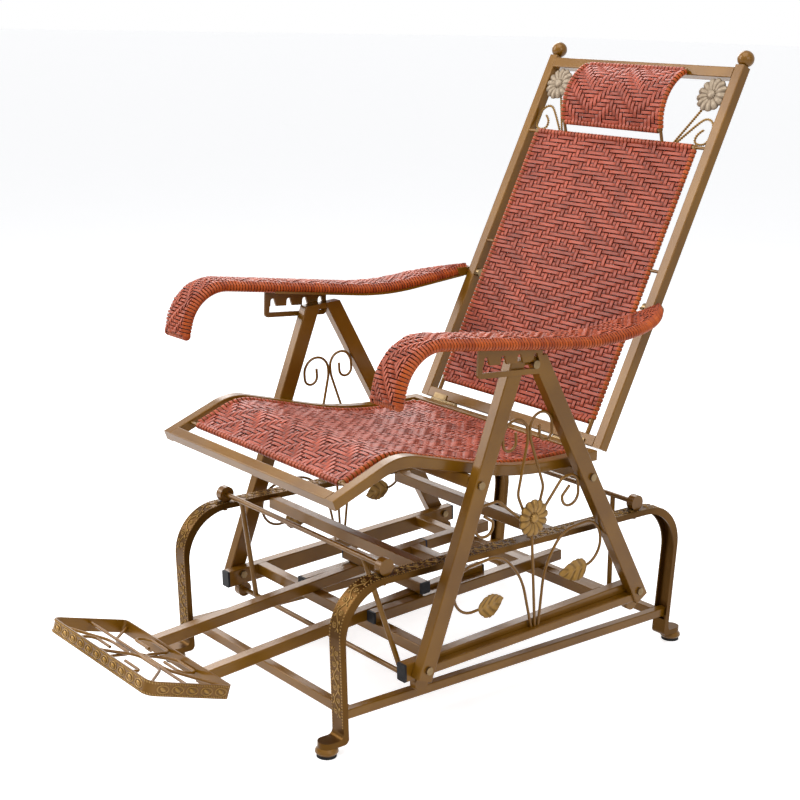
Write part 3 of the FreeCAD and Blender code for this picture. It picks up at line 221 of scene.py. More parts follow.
ARCH_POINTS = [
    (-0.392, 0.021), (-0.36456, 0.021), (-0.37962, 0.272), (0.39382, 0.272), (0.37876, 0.021), (0.409, 0.021),
]
ARCH_BENDS = [0.014, 0.075, 0.075, 0.014]
# Relief on the arches: bare ends, beads along both edges, and stretches of vine with gaps between them
ARCH_BARE = 0.045
ARCH_BEAD_PITCH = 0.005
ARCH_BEAD_INSET = 0.0022
VINE_STRETCH = 0.120
VINE_GAP = 0.024
VINE_WAVES = 3
VINE_SWAY = 0.0052
VINE_PLANE = 0.0003
VINE_STEM = 0.0013
VINE_STEPS = 60
VINE_ENDS = 0.04
VINE_TAPER = 0.4
VINE_FLATNESS = 0.8
# A tendril winds in from its reach, over the angles from its root to its tip
TENDRIL = 0.0009
TENDRIL_REACH = 0.0052
TENDRIL_ASIDE = 0.0028
TENDRIL_TURNS = np.linspace(0.6, 3.6 * np.pi, 26)
TENDRIL_CLOSED = 4.2 * np.pi
VINE_LEAF_ALONG = 0.006
VINE_LEAF_ASIDE = 0.0072
VINE_LEAF_LEAN = 0.5
RIM_REAR = (-0.523, 0.129)
RIM_TILT = math.radians(16.3)
RIM_LENGTH = 0.146
RIM_FRONT_HALF = 0.154
RIM_REAR_HALF = 0.162
RIM_HEIGHT = 0.022
RIM_BENDS = (0.008, 0.016)
RIM_STEPS = 10
RIM_REAR_BARE = 0.004
# A short way along the rim, to find its direction
RIM_NEARBY = 0.001
COIN_PITCH = 0.0245
# A coin's ring: half its length, half its height, and the radius of its wire
COIN_RING = (0.0098, 0.0060, 0.0012)
COIN_ROOM = 0.001
COIN_RIB_RAISE = 0.0012
ROPE_PITCH = 0.0042
ROPE_INSET = 0.0024
# How far the leaves on the coins and the strands of the ropes lean up
COIN_LEAN = 0.5
ROPE_LEAN = 0.6

# Low bosses: radius, height, number of sides, and stretch
BUTTON = (0.0085, 0.0048, 20, 1.0)
BUTTON_BEAD = (0.0014, 0.0022, 6, 1.0)
ARCH_BEAD = (0.0016, 0.0011, 6, 1.0)
VINE_LEAF = (0.0018, 0.0014, 8, 1.9)
COIN_LEAF = (0.0034, 0.0024, 14, 1.9)
COIN_RIB = (0.0014, 0.0020, 10, 2.4)
ROPE_STRAND = (0.0013, 0.0013, 6, 1.7)
# The spread and rise of a boss's rings, and how dark each ring is
DOME_RINGS = ((1.0, -0.3), (1.0, 0.05), (0.82, 0.6), (0.45, 0.93))
DOME_SHADE = (1.0, 0.6, 0.0, 0.0)
WIRE_SIDES = 6
OVAL_STEPS = 24
# How high up the flanks of wires and rings the painted shade at their feet reaches
WIRE_SHADE = 0.4
OVAL_SHADE = 0.3

# Units of the straps' texture to a metre along them
UV_SCALE = 100

# Colours, darker and lighter
GOLD_TONES = ((0.147, 0.060, 0.002), (0.212, 0.094, 0.005))
BRONZE_TONES = ((0.074, 0.032, 0.004), (0.118, 0.054, 0.010))
RELIEF_TONES = ((0.238, 0.128, 0.028), (0.370, 0.220, 0.076))
# Painted shade tone that the gold relief darkens to at the feet and flanks of its bosses and wires and in its
# hollows
RELIEF_PAINTED_SHADE = (0.046, 0.020, 0.005)
CHAMPAGNE_TONES = ((0.260, 0.195, 0.130), (0.410, 0.330, 0.240))
# Painted shade tone that the champagne flowers darken to in their valleys and at the feet of their beads
CHAMPAGNE_PAINTED_SHADE = (0.090, 0.055, 0.028)
STRAND_TONES = ((0.233, 0.039, 0.017), (0.411, 0.078, 0.039))
STRAND_EDGE_TONES = ((0.275, 0.038, 0.004), (0.484, 0.090, 0.011))
# The painted shade that the straps darken to where they lie low in the weave
STRAND_PAINTED_SHADE = (0.018, 0.004, 0.003)
BLACK_TONES = ((0.010, 0.010, 0.011), (0.022, 0.022, 0.024))
RUBBER_TONES = ((0.012, 0.012, 0.012), (0.026, 0.025, 0.024))
ZINC_TONES = ((0.16, 0.105, 0.050), (0.27, 0.190, 0.100))
FLOOR_TONES = ((0.86, 0.86, 0.86), (0.88, 0.88, 0.88))
SKY_TONE = (0.93, 0.95, 1.0)

# Paint: where its mottle is darkest and lightest, its noise scales, and its bump's strength and height
PAINT_STOPS = (0.35, 0.68)
PAINT_SCALE = 9.0
PAINT_GLOSS_SCALE = 40.0
PAINT_ROUGHNESS = (0.30, 0.42)
PAINT_SPECULAR = 0.05
PEEL_NOISE = (900.0, 2.0)
PEEL_BUMP = (0.12, 0.0004)
COAT_ROUGHNESS = 0.2
COAT_IOR = 1.4
# Strand: how far each strap's own tone moves it, and fine lines stretched along it
STRAND_STOPS = (0.25, 0.75)
STRAND_SCALE = 26.0
STRAP_TONE = 0.16
STREAK_STRETCH = (9.0, 0.25, 1.0)
STREAK_DETAIL = 2.0
STREAK_BUMP = (0.5, 0.0004)
STRAND_ROUGHNESS = (0.30, 0.46)
STRAND_SPECULAR = 0.25
# Plain materials: how much their roughness varies, and how much finer their bump is than their mottle
PLAIN_STOPS = (0.3, 0.7)
PLAIN_VARIES = 0.06
PLAIN_FINER = 8
PLAIN_HEIGHT = 0.0003

# Camera found from the chair's own edges in the photograph
CAMERA_AZIMUTH = math.radians(50.55)
CAMERA_ELEVATION = math.radians(14.09)
CAMERA_ROLL = math.radians(1.5)
CAMERA_PLACE = (1.99518, -1.71757, 1.12933)
CAMERA_FOCUS = 1547.55
IMAGE_SIDE = 800
SENSOR = 36.0

# How much the floor is lifted towards white where the camera sees it
FLOOR_GLOW = 0.63
FLOOR_REACH = 60.0
FLOOR_SCALE = 3.0
FLOOR_ROUGHNESS = 0.9
SKY_STRENGTH = 0.33
# Lamps: place, width and height, and power in watts
LAMP_TARGET = (0, 0, 0.5)
LAMPS = {
    "overhead": ((0.4, -0.6, 3.2), (2.6, 2.6), 64),
    "side": ((3.0, -0.4, 1.9), (1.8, 1.8), 28),
    "front": ((-1.95, -1.60, 1.95), (1.25, 2.2), 56),
    "rear": ((-2.3, 1.4, 2.2), (1.8, 1.8), 44),
}


def unit(vectors):
    """Vectors scaled to length one along their last axis."""
    return vectors / np.linalg.norm(vectors, axis=-1, keepdims=True)


def rounded(points, bends, steps=28):
    """Points along a plane path whose corners are rounded by arcs."""
    points = np.array(points, float)
    line = [points[0]]
    for before, corner, after, radius in zip(points, points[1:], points[2:], bends):
        way_in = unit(corner - before)
        way_out = unit(after - corner)
        half = math.acos(np.clip(way_in @ way_out, -1, 1)) / 2
        centre = corner + unit(way_out - way_in) * radius / math.cos(half)
        first = corner - way_in * radius * math.tan(half) - centre
        last = corner + way_out * radius * math.tan(half) - centre
        for share in np.linspace(0, 1, steps):
            spoke = first * math.sin((1 - share) * 2 * half) + last * math.sin(share * 2 * half)
            line.append(centre + unit(spoke) * radius)
    line.append(points[-1])
    return np.array(line)


def walk_along(points):
    """Distances of points along the line through them."""
    return np.append(0, np.cumsum(np.linalg.norm(np.diff(points, axis=0), axis=1)))


def line_at(marks, walk, points):
    """Values between points, at distances along the line through them."""
    return np.stack([np.interp(marks, walk, column) for column in points.T], -1)


class Profile:
    """A side-view line, met by distance along it; it runs on straight past both ends."""

    reach = 0.05
    least_step = 1e-6

    def __init__(self, points):
        points = np.array(points, float)
        keep = np.append(True, np.linalg.norm(np.diff(points, axis=0), axis=1) > self.least_step)
        points = points[keep]
        start = points[0] - unit(points[1] - points[0]) * self.reach
        end = points[-1] + unit(points[-1] - points[-2]) * self.reach
        self.points = np.vstack([start, points, end])
        self.marks = walk_along(self.points) - self.reach
        self.length = self.marks[-1] - self.reach
        ways = unit(np.diff(self.points, axis=0))
        self.ways = unit(np.vstack([ways[:1], ways[:-1] + ways[1:], ways[-1:]]))

    def at(self, along):
        """Point, direction and left normal, as vectors in space, at distances along the line."""
        along = np.atleast_1d(along)
        zero = np.zeros_like(along)
        y, z = line_at(along, self.marks, self.points).T
        way_y, way_z = unit(line_at(along, self.marks, self.ways)).T
        point = np.stack([zero, y + SHIFT_Y, z], -1)
        return point, np.stack([zero, way_y, way_z], -1), np.stack([zero, -way_z, way_y], -1)


class Track:
    """A closed tube of rings with tone, wrap and painted shade shares."""

    def __init__(self, rings, tone=0.0, wrap=0.0, painted_shade=0.0, loop=False):
        self.rings = np.asarray(rings, float)
        self.tone = self.by_vertex(tone)
        self.wrap = self.by_vertex(wrap)
        self.painted_shade = self.by_vertex(painted_shade)
        self.loop = loop

    def by_vertex(self, values):
        """A value for each vertex, from one for all, a list by ring or a table by ring and side."""
        values = np.asarray(values, float)
        if values.ndim == 1:
            values = values[:, None]
        return np.broadcast_to(values, self.rings.shape[:2])


def strap_track(centres, normals, side, pitch, share, wrap, under, loop=False):
    """A flat strap along centres, facing its normals, that takes up a share of the pitch along side.

    Under other straps it is wider and its upper face, low in the weave, gets painted shade; elsewhere its
    lower face does.
    """
    half = (pitch * np.where(under, UNDER_SPREAD, share))[:, None, None] / 2
    spread = STRAP_SIDE[None, :, None] * side * half
    rise = STRAP_RISE[None, :, None] * normals[:, None, :] * STRAP_THICKNESS / 2
    # Painted shade on the face that lies low in the weave: the upper face under other straps, else the lower
    # one
    upper = np.clip(STRAP_RISE + 0.5, 0, 1)
    painted_shade = under[:, None] * upper + (1 - under[:, None]) * (1 - upper)
    tone = random.uniform(-1, 1)
    return Track(centres[:, None, :] + spread + rise, tone, wrap, painted_shade, loop)


def tube_track(points, radius, up, flat=1.0, twist=None, flank_shade=0.0):
    """A round wire along points; flat squeezes it along up, and radius may change along it.

    A twist of an offset and angles winds it round the points. Its lower flanks get painted shade, as much as
    flank_shade gives.
    """
    points = np.asarray(points, float)
    way = unit(np.gradient(points, axis=0))
    side = unit(np.cross(way, np.broadcast_to(up, way.shape)))
    rise = np.cross(side, way)
    turns = np.linspace(0, 2 * np.pi, WIRE_SIDES, endpoint=False)
    size = np.broadcast_to(radius, len(points))[:, None, None]
    if twist is not None:
        offset, angle = twist
        points = points + offset * (np.cos(angle)[:, None] * side + np.sin(angle)[:, None] * rise)
    aside = np.cos(turns)[None, :, None] * side[:, None, :]
    ring = aside + flat * np.sin(turns)[None, :, None] * rise[:, None, :]
    # Painted shade on the wire's lower flanks
    flanks = flank_shade * np.clip(WIRE_SHADE - np.sin(turns), 0, 1)
    return Track(points[:, None, :] + size * ring, painted_shade=flanks[None, :])


def dome_track(centre, normal, side, boss):
    """A low boss on a surface, stretched along side."""
    radius, height, sides, stretch = boss
    other = np.cross(normal, side)
    turns = np.linspace(0, 2 * np.pi, sides, endpoint=False)
    outline = np.cos(turns)[:, None] * side * stretch + np.sin(turns)[:, None] * other
    rings = [centre + radius * spread * outline + height * rise * normal for spread, rise in DOME_RINGS]
    # Painted shade on the boss's lower rings
    return Track(rings, painted_shade=DOME_SHADE)


def ring_track(centre, normal, side, ring):
    """A raised oval ring on a surface, long along side."""
    half_length, half_height, wire = ring
    other = np.cross(normal, side)
    turns = np.linspace(0, 2 * np.pi, OVAL_STEPS, endpoint=False)
    spokes = half_length * np.cos(turns)[:, None] * side + half_height * np.sin(turns)[:, None] * other
    section = np.linspace(0, 2 * np.pi, WIRE_SIDES, endpoint=False)
    aside = np.cos(section)[None, :, None] * unit(spokes)[:, None, :]
    rings = (centre + spokes)[:, None, :] + wire * (aside + np.sin(section)[None, :, None] * normal)
    # Painted shade on the ring's lower flanks
    flanks = np.clip(OVAL_SHADE - np.sin(section), 0, 1)
    return Track(rings, painted_shade=flanks[None, :], loop=True)


def new_object(name, data):
    """A scene object for a mesh, a lamp or a camera."""
    piece = bpy.data.objects.new(name, data)
    bpy.context.scene.collection.objects.link(piece)
    return piece


def track_mesh(name, tracks, mirror=False):
    """One mesh object from many tracks, with tone, wrap and painted_shade attributes and a strap UV map."""
    vertices, loops, totals, uvs = [], [], [], []
    shares = {"tone": [], "wrap": [], "painted_shade": []}
    first = 0
    for track in tracks:
        count, sides = track.rings.shape[:2]
        vertices.append(track.rings.reshape(-1, 3))
        for label, values in shares.items():
            values.append(getattr(track, label).ravel())
        walk = walk_along(track.rings.mean(axis=1))
        across = np.linspace(0, 1, sides) if sides != len(STRAP_SIDE) else (STRAP_SIDE + 1) / 2
        uvs.append(np.stack([np.tile(across, count), np.repeat(walk, sides) * UV_SCALE], -1))
        grid = first + np.arange(count * sides).reshape(count, sides)
        after = np.roll(grid, -1, axis=0) if track.loop else grid[1:]
        before = grid if track.loop else grid[:-1]
        quads = np.stack([before, np.roll(before, -1, 1), np.roll(after, -1, 1), after], -1).reshape(-1, 4)
        loops.append(quads.ravel())
        totals.append(np.full(len(quads), 4))
        if not track.loop:
            loops += [grid[0, ::-1], grid[-1]]
            totals.append(np.array([sides, sides]))
        first += count * sides
    vertices = np.concatenate(vertices)
    loops = np.concatenate(loops)
    totals = np.concatenate(totals)
    starts = np.append(0, np.cumsum(totals)[:-1])
    if mirror:
        vertices = vertices * np.array([-1, 1, 1])
    mesh = bpy.data.meshes.new(name)
    mesh.vertices.add(len(vertices))
    mesh.vertices.foreach_set("co", vertices.astype(np.float32).ravel())
    mesh.loops.add(len(loops))
    mesh.loops.foreach_set("vertex_index", loops.astype(np.int32))
    mesh.polygons.add(len(totals))
    mesh.polygons.foreach_set("loop_start", starts.astype(np.int32))
    mesh.update(calc_edges=True)
    mesh.polygons.foreach_set("use_smooth", np.ones(len(totals), bool))
    layer = mesh.uv_layers.new(name="strap")
    layer.data.foreach_set("uv", np.concatenate(uvs)[loops].astype(np.float32).ravel())
    for label, values in shares.items():
        carried = mesh.attributes.new(label, "FLOAT", "POINT")
        carried.data.foreach_set("value", np.concatenate(values).astype(np.float32))
    set_outward(mesh)
    return new_object(name, mesh)


def set_outward(mesh):
    """Turn every closed shell of a mesh so that its faces look outwards."""
    shells = bmesh.new()
    shells.from_mesh(mesh)
    bmesh.ops.recalc_face_normals(shells, faces=shells.faces)
    shells.to_mesh(mesh)
    shells.free()


def place(piece, body, material, slot, *nodes):
    """Finish a piece: its material, the body it rides on and the nodes it stands for; its slot is not used.
    """
    piece.data.materials.append(material)
    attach(piece, body)
    if nodes:
        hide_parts(*nodes)


def place_both(name, tracks, body, material, *nodes):
    """A gold piece on the left and its mirror image on the right."""
    for side, mirror in SIDES:
        place(track_mesh(side + "_" + name, tracks, mirror), body, material, "gold_frame", *nodes)


# Materials

def feed(links, socket, value):
    """Link a socket to another one, or give it a plain value."""
    if hasattr(value, "is_linked"):
        links.new(value, socket)
    else:
        socket.default_value = value


def feed_inputs(links, node, **inputs):
    """Feed a node's inputs by their names, with underscores for spaces."""
    for name, value in inputs.items():
        feed(links, node.inputs[name.replace("_", " ")], value)


def node_adder(tree):
    """A helper that adds a node to a tree and feeds its inputs."""
    def add(kind, **inputs):
        node = tree.nodes.new(kind)
        feed_inputs(tree.links, node, **inputs)
        return node

    return add


def new_material(name):
    """A material with a principled shader, a helper that adds nodes, and its links."""
    material = bpy.data.materials.new(name)
    material.use_nodes = True
    tree = material.node_tree
    return material, tree.nodes["Principled BSDF"], node_adder(tree), tree.links


def ramp(add, factor, stops, tones):
    """A colour ramp from a dark tone to a light one."""
    node = add("ShaderNodeValToRGB", Fac=factor)
    for element, spot, tone in zip(node.color_ramp.elements, stops, tones):
        element.position = spot
        element.color = (*tone, 1)
    return node.outputs["Color"]


def noise(add, scale, detail=3.0):
    """Noise over the piece's own space."""
    space = add("ShaderNodeTexCoord")
    texture = add("ShaderNodeTexNoise", Vector=space.outputs["Object"], Scale=scale, Detail=detail)
    return texture.outputs["Fac"]


def bump(add, links, shader, height, strength, distance):
    """Fine relief in a shader's normal."""
    node = add("ShaderNodeBump", Height=height, Strength=strength, Distance=distance)
    feed_inputs(links, shader, Normal=node.outputs["Normal"])


def roughen(add, links, shader, factor, low, high):
    """A roughness that follows a factor from low to high."""
    node = add("ShaderNodeMapRange", Value=factor, To_Min=low, To_Max=high)
    feed_inputs(links, shader, Roughness=node.outputs["Result"])


def attribute(add, name):
    """A share that a piece's mesh carries."""
    node = add("ShaderNodeAttribute")
    node.attribute_name = name
    return node.outputs["Fac"]


def blend(add, links, factor, first, second):
    """A mix of two colours, by the colour sockets of a mix node."""
    node = add("ShaderNodeMix", Factor=factor)
    node.data_type = "RGBA"
    feed(links, node.inputs[6], first)
    feed(links, node.inputs[7], second)
    return node.outputs[2]


def gold_paint(name, tones, metallic, coat, painted_shade_tone=None):
    """Metallic paint with a mottled tone and a fine orange peel; where a painted shade tone is given, the
    painted_shade share darkens it towards that tone.
    """
    material, shader, add, links = new_material(name)
    colour = ramp(add, noise(add, PAINT_SCALE), PAINT_STOPS, tones)
    # Painted shade: darker towards the given tone by the mesh's painted_shade share
    if painted_shade_tone:
        colour = blend(add, links, attribute(add, "painted_shade"), colour, (*painted_shade_tone, 1))
    feed_inputs(links, shader, Base_Color=colour, Metallic=metallic, Specular_IOR_Level=PAINT_SPECULAR)
    feed_inputs(links, shader, Coat_Weight=coat, Coat_Roughness=COAT_ROUGHNESS, Coat_IOR=COAT_IOR)
    roughen(add, links, shader, noise(add, PAINT_GLOSS_SCALE), *PAINT_ROUGHNESS)
    bump(add, links, shader, noise(add, *PEEL_NOISE), *PEEL_BUMP)
    return material


def strand(name):
    """Glossy extruded strand: each strap has its own tone, fine lines along it, orange where it wraps, and
    painted shade where it lies low in the weave.
    """
    material, shader, add, links = new_material(name)
    blended = add("ShaderNodeMath", Value=attribute(add, "tone"))
    blended.operation = "MULTIPLY_ADD"
    blended.inputs[1].default_value = STRAP_TONE
    links.new(noise(add, STRAND_SCALE), blended.inputs[2])
    field = ramp(add, blended.outputs["Value"], STRAND_STOPS, STRAND_TONES)
    edge = ramp(add, blended.outputs["Value"], STRAND_STOPS, STRAND_EDGE_TONES)
    colour = blend(add, links, attribute(add, "wrap"), field, edge)
    # Painted shade: darker where the strap lies low in the weave
    colour = blend(add, links, attribute(add, "painted_shade"), colour, (*STRAND_PAINTED_SHADE, 1))
    feed_inputs(links, shader, Base_Color=colour, Specular_IOR_Level=STRAND_SPECULAR)
    grain = add("ShaderNodeUVMap")
    grain.uv_map = "strap"
    lines = add("ShaderNodeMapping", Vector=grain.outputs["UV"], Scale=STREAK_STRETCH)
    streak = add("ShaderNodeTexNoise", Vector=lines.outputs["Vector"], Scale=1.0, Detail=STREAK_DETAIL)
    roughen(add, links, shader, streak.outputs["Fac"], *STRAND_ROUGHNESS)
    bump(add, links, shader, streak.outputs["Fac"], *STREAK_BUMP)
    return material


def plain(name, tones, roughness, scale, relief, specular, metallic=0.0):
    """A mottled material for caps, pads and bolts."""
    material, shader, add, links = new_material(name)
    mottle = noise(add, scale)
    colour = ramp(add, mottle, PLAIN_STOPS, tones)
    feed_inputs(links, shader, Base_Color=colour, Metallic=metallic, Specular_IOR_Level=specular)
    roughen(add, links, shader, mottle, roughness - PLAIN_VARIES, roughness + PLAIN_VARIES)
    bump(add, links, shader, noise(add, scale * PLAIN_FINER), relief, PLAIN_HEIGHT)
    return material


GOLD = gold_paint("gold_paint", GOLD_TONES, metallic=0.15, coat=0.7)
BRONZE = gold_paint("dark_bronze", BRONZE_TONES, metallic=0.8, coat=0.05)
RELIEF = gold_paint("relief_gold", RELIEF_TONES, metallic=0.6, coat=0.1, painted_shade_tone=RELIEF_PAINTED_SHADE)
CHAMPAGNE = gold_paint("champagne_gold", CHAMPAGNE_TONES, metallic=0.2, coat=0.3, painted_shade_tone=CHAMPAGNE_PAINTED_SHADE)
STRAND = strand("woven_strand")
BLACK = plain("black_plastic", BLACK_TONES, roughness=0.5, scale=120.0, relief=0.25, specular=0.15)
RUBBER = plain("black_rubber", RUBBER_TONES, roughness=0.75, scale=80.0, relief=0.4, specular=0.15)
ZINC = plain("yellow_zinc", ZINC_TONES, roughness=0.36, scale=90.0, relief=0.15, specular=0.5, metallic=1.0)
SLOT_MATERIALS = {
    "gold_frame": GOLD, "woven_strand": STRAND, "black_caps": BLACK, "rubber_pads": RUBBER, "zinc": ZINC,
}
# Nodes whose relief stands on a darker ground
EMBOSSED = ("left_arch", "right_arch")


def dress_frame():
    """Give every node of the frame the material of its slot, and embossed ones the dark bronze."""
    for entry in frame["record"]["subparts"]:
        node = frame["nodes"][entry["node"]]
        node.data.materials.clear()
        embossed = entry["node"] in EMBOSSED
        node.data.materials.append(BRONZE if embossed else SLOT_MATERIALS[entry["material_slot"]])


# Woven panels

def beside_crossings(centres, heights):
    """The places on both sides of each crossing where a strap begins to change its height."""
    stay = np.where(heights < 0, UNDER_STAY, OVER_STAY) * (centres[1] - centres[0])
    return np.stack([centres - stay, centres + stay], -1).ravel()


def strap_path(half, centres, heights, bend):
    """A strap's way over its crossings and round a rod at each end.

    Gives places along it, heights, both parts of the normals, and wrap and under shares.
    """
    along = beside_crossings(centres, heights)
    out, up = np.cos(WRAP_TURNS), np.sin(WRAP_TURNS)
    wrap = np.clip((WRAP_START - WRAP_TURNS) * WRAP_RATE, 0, 1)
    none = np.zeros(len(along))
    bare = np.zeros(len(WRAP_TURNS))
    return (
        np.hstack([-(half + bend * out)[::-1], along, half + bend * out]),
        np.hstack([bend * up[::-1], np.repeat(heights, 2), bend * up]),
        np.hstack([-out[::-1], none, out]),
        np.hstack([up[::-1], none + 1, up]),
        np.hstack([wrap[::-1], none, wrap]),
        np.hstack([bare, np.repeat(heights < 0, 2), bare]),
    )


def crossing_heights(over):
    """Heights of straps, one to a row, at their crossings; each float sinks a little at its ends."""
    signs = np.where(over, 1.0, -1.0)
    beside = np.pad(signs, ((0, 0), (1, 1)), mode="edge")
    return STRAP_LIFT * (CROSSING_SHARE * signs + BESIDE_SHARE * (beside[:, :-2] + beside[:, 2:]))


def diamonds(counts, middle):
    """Twill in concentric diamonds: True where the cross straps are on top."""
    row = np.abs(np.arange(counts[0]) - middle[0])
    column = np.abs(np.arange(counts[1]) - middle[1])
    return (2 * row[:, None] + column[None, :]) % (DIAMOND_OVER + DIAMOND_UNDER) < DIAMOND_OVER


def zigzag(count, fold, start=0):
    """A count that runs up and down again every fold steps."""
    steps = (np.arange(count) + start) % (2 * fold)
    return np.minimum(steps, 2 * fold - steps)


def herringbone(rows, columns):
    """Twill that runs over and under as many: True where the cross straps are on top."""
    return (rows[:, None] + columns[None, :]) % (2 * TWILL_OVER) < TWILL_OVER


def woven_panel(name, profile, half, over, body, node):
    """A panel of interlaced straps: cross straps run along X, long straps follow the profile."""
    cross_count, long_count = over.shape
    long_half = half - SIDE_ROOM
    long_pitch = 2 * long_half / long_count
    middle = profile.length / 2
    cross_half = middle - ROD
    cross_pitch = 2 * cross_half / cross_count
    columns = (np.arange(long_count) + 0.5) * long_pitch - long_half
    rows = (np.arange(cross_count) + 0.5) * cross_pitch - cross_half
    tracks = []
    for row, heights in zip(rows, crossing_heights(over)):
        point, tangent, normal = (v[0] for v in profile.at(middle + row))
        along, rise, out, up, wrap, under = strap_path(half, columns, heights, WRAP_RADIUS)
        centres = point + along[:, None] * ACROSS + rise[:, None] * normal
        normals = out[:, None] * ACROSS + up[:, None] * normal
        tracks.append(strap_track(centres, normals, tangent, cross_pitch, CROSS_SPREAD, wrap, under))
    for column, heights in zip(columns, crossing_heights(~over.T)):
        along, rise, out, up, wrap, under = strap_path(middle, rows, heights, WRAP_RADIUS)
        point, tangent, normal = profile.at(middle + along)
        centres = point + column * ACROSS + rise[:, None] * normal
        normals = out[:, None] * tangent + up[:, None] * normal
        warmth = LONG_WARMTH * wrap
        tracks.append(strap_track(centres, normals, -ACROSS, long_pitch, LONG_SPREAD, warmth, under))
    place(track_mesh(name, tracks), body, STRAND, "woven_strand", node)


def leaning_point(foot, lean, along, out):
    """A side-view point, by its place along a leaning line and out in front of it."""
    way = np.array([math.cos(lean), math.sin(lean)])
    front = np.array([-way[1], way[0]])
    return np.array(foot) + along * way + out * front


def back_point(along, out):
    """A side-view point, by its place along the back and out in front of it."""
    return leaning_point(BACK_CORNER, BACK_ANGLE, along, out)


def back_panel():
    """The back's panel, woven in diamonds."""
    profile = Profile([back_point(along, BACK_PLANE) for along in BACK_PANEL])
    over = diamonds(BACK_STRAPS, BACK_MIDDLE)
    woven_panel("back_straps", profile, BACK_HALF, over, "back", "back_weave")


def seat_panel():
    """The seat's panel, which follows the bent seat rails."""
    rail = Profile(rounded(SEAT_POINTS, SEAT_BENDS))
    point, _, normal = rail.at(np.linspace(SEAT_TRIM[0], rail.length - SEAT_TRIM[1], SEAT_STEPS))
    profile = Profile((point - SEAT_DROP * normal)[:, 1:] - np.array([SHIFT_Y, 0]))
    over = herringbone(np.arange(SEAT_STRAPS[0]), zigzag(SEAT_STRAPS[1], *SEAT_FOLD))
    woven_panel("seat_straps", profile, SEAT_HALF, over, "chassis", "seat_weave")


def head_profile():
    """The headrest's arc through its low, middle and high points."""
    low, middle, high = (back_point(*spot) for spot in (HEAD_LOW, HEAD_MIDDLE, HEAD_HIGH))
    sides = np.array([middle - low, high - low])
    centre = low + np.linalg.solve(2 * sides, (sides ** 2).sum(axis=1))
    spokes = [spot - centre for spot in (low, high)]
    angles = [math.atan2(spoke[1], spoke[0]) for spoke in spokes]
    sweep = (angles[1] - angles[0] + math.pi) % (2 * math.pi) - math.pi
    turns = angles[0] + np.linspace(0, sweep, HEAD_STEPS)
    return Profile(centre + np.linalg.norm(spokes[0]) * np.stack([np.cos(turns), np.sin(turns)], -1))


def headrest_panel():
    """The headrest's bowed panel."""
    over = herringbone(np.arange(HEAD_STRAPS[0]), zigzag(HEAD_STRAPS[1], *HEAD_FOLD))
    woven_panel("headrest_straps", head_profile(), HEAD_HALF, over, "back", "headrest_weave")


# Arms

def arm_span(y):
    """Middle and half-width of the left arm at a side-view y."""
    front_y, rear_y = ARM_POINTS[0][0], ARM_POINTS[-1][0]
    flare = ARM_FLARE * (rear_y - np.minimum(y, rear_y)) / (rear_y - front_y)
    inner = ARM_INNER_X + flare
    outer = ARM_OUTER_X + flare
    share = np.clip((y - ARM_TAPER_Y) / (rear_y - ARM_TAPER_Y), 0, 1)
    outer = outer - (outer - ARM_END_X) * share ** ARM_TAPER_POWER
    return (outer + inner) / 2, (outer - inner) / 2


def arm_flat(half):
    """Half-width of the arm's top between its rounded edges."""
    return half - np.minimum(ARM_EDGE, ARM_EDGE_SHARE * half)


def arm_crown(across, half):
    """Height of the arm's arched top, by distance from its middle."""
    return ARM_CROWN * (1 - (across / half) ** 2)


def arm_loop(half, heights):
    """A strap's loop round the arm at one place, starting on top.

    Gives places across, levels, the weave's heights, both parts of the normals, and wrap and under shares.
    """
    flat = arm_flat(half)
    top = beside_crossings(ARM_SLOTS * flat, heights)
    bottom = np.linspace(flat, -flat, ARM_BOTTOM_STEPS)
    none = np.zeros(ARM_BOTTOM_STEPS)
    edge_out, edge_up = np.cos(ARM_EDGE_TURNS), np.sin(ARM_EDGE_TURNS)
    edge = flat + (half - flat) * edge_out
    edge_level = ARM_DEPTH / 2 * (edge_up - 1)
    rest = np.zeros(2 * len(edge) + len(bottom))
    return (
        np.hstack([top, edge, bottom, -edge[::-1]]),
        np.hstack([arm_crown(top, half), edge_level, none - ARM_DEPTH, edge_level[::-1]]),
        np.append(np.repeat(heights, 2), rest),
        np.hstack([np.zeros(len(top)), edge_out, none, -edge_out[::-1]]),
        np.hstack([np.ones(len(top)), edge_up, none - 1, edge_up[::-1]]),
        np.append(ARM_WARMTH + (1 - ARM_WARMTH) * (top / half) ** ARM_WARMTH_POWER, rest + 1),
        np.append(np.repeat(heights < 0, 2), rest),
    )


def arm_wraps(profile, marks, pitch, heights):
    """The straps that wrap the left arm, and the core that they are woven on, painted as shade where they
    cover it.
    """
    point, tangent, normal = profile.at(marks)
    y = point[:, 1] - SHIFT_Y
    middle, half = arm_span(y)
    straps = []
    core = []
    for k, strap_heights in enumerate(heights):
        across, level, weave, out, up, wrap, under = arm_loop(half[k], strap_heights)
        surface = point[k] + (middle[k] + across)[:, None] * ACROSS + level[:, None] * normal[k]
        centres = surface + weave[:, None] * normal[k]
        normals = out[:, None] * ACROSS + up[:, None] * normal[k]
        straps.append(strap_track(centres, normals, tangent[k], pitch, CROSS_SPREAD, wrap, under, loop=True))
        core.append(surface - np.where(up > FACING_UP, ARM_TOP_INSET, ARM_INSET)[:, None] * normals)
    # The core under the straps is painted shade; where it is bare it keeps the strands' warmer tone
    bared = np.clip((y - ARM_TAPER_Y) / ARM_BARED, 0, 1)
    return straps, Track(core, wrap=1.0, painted_shade=1 - bared)


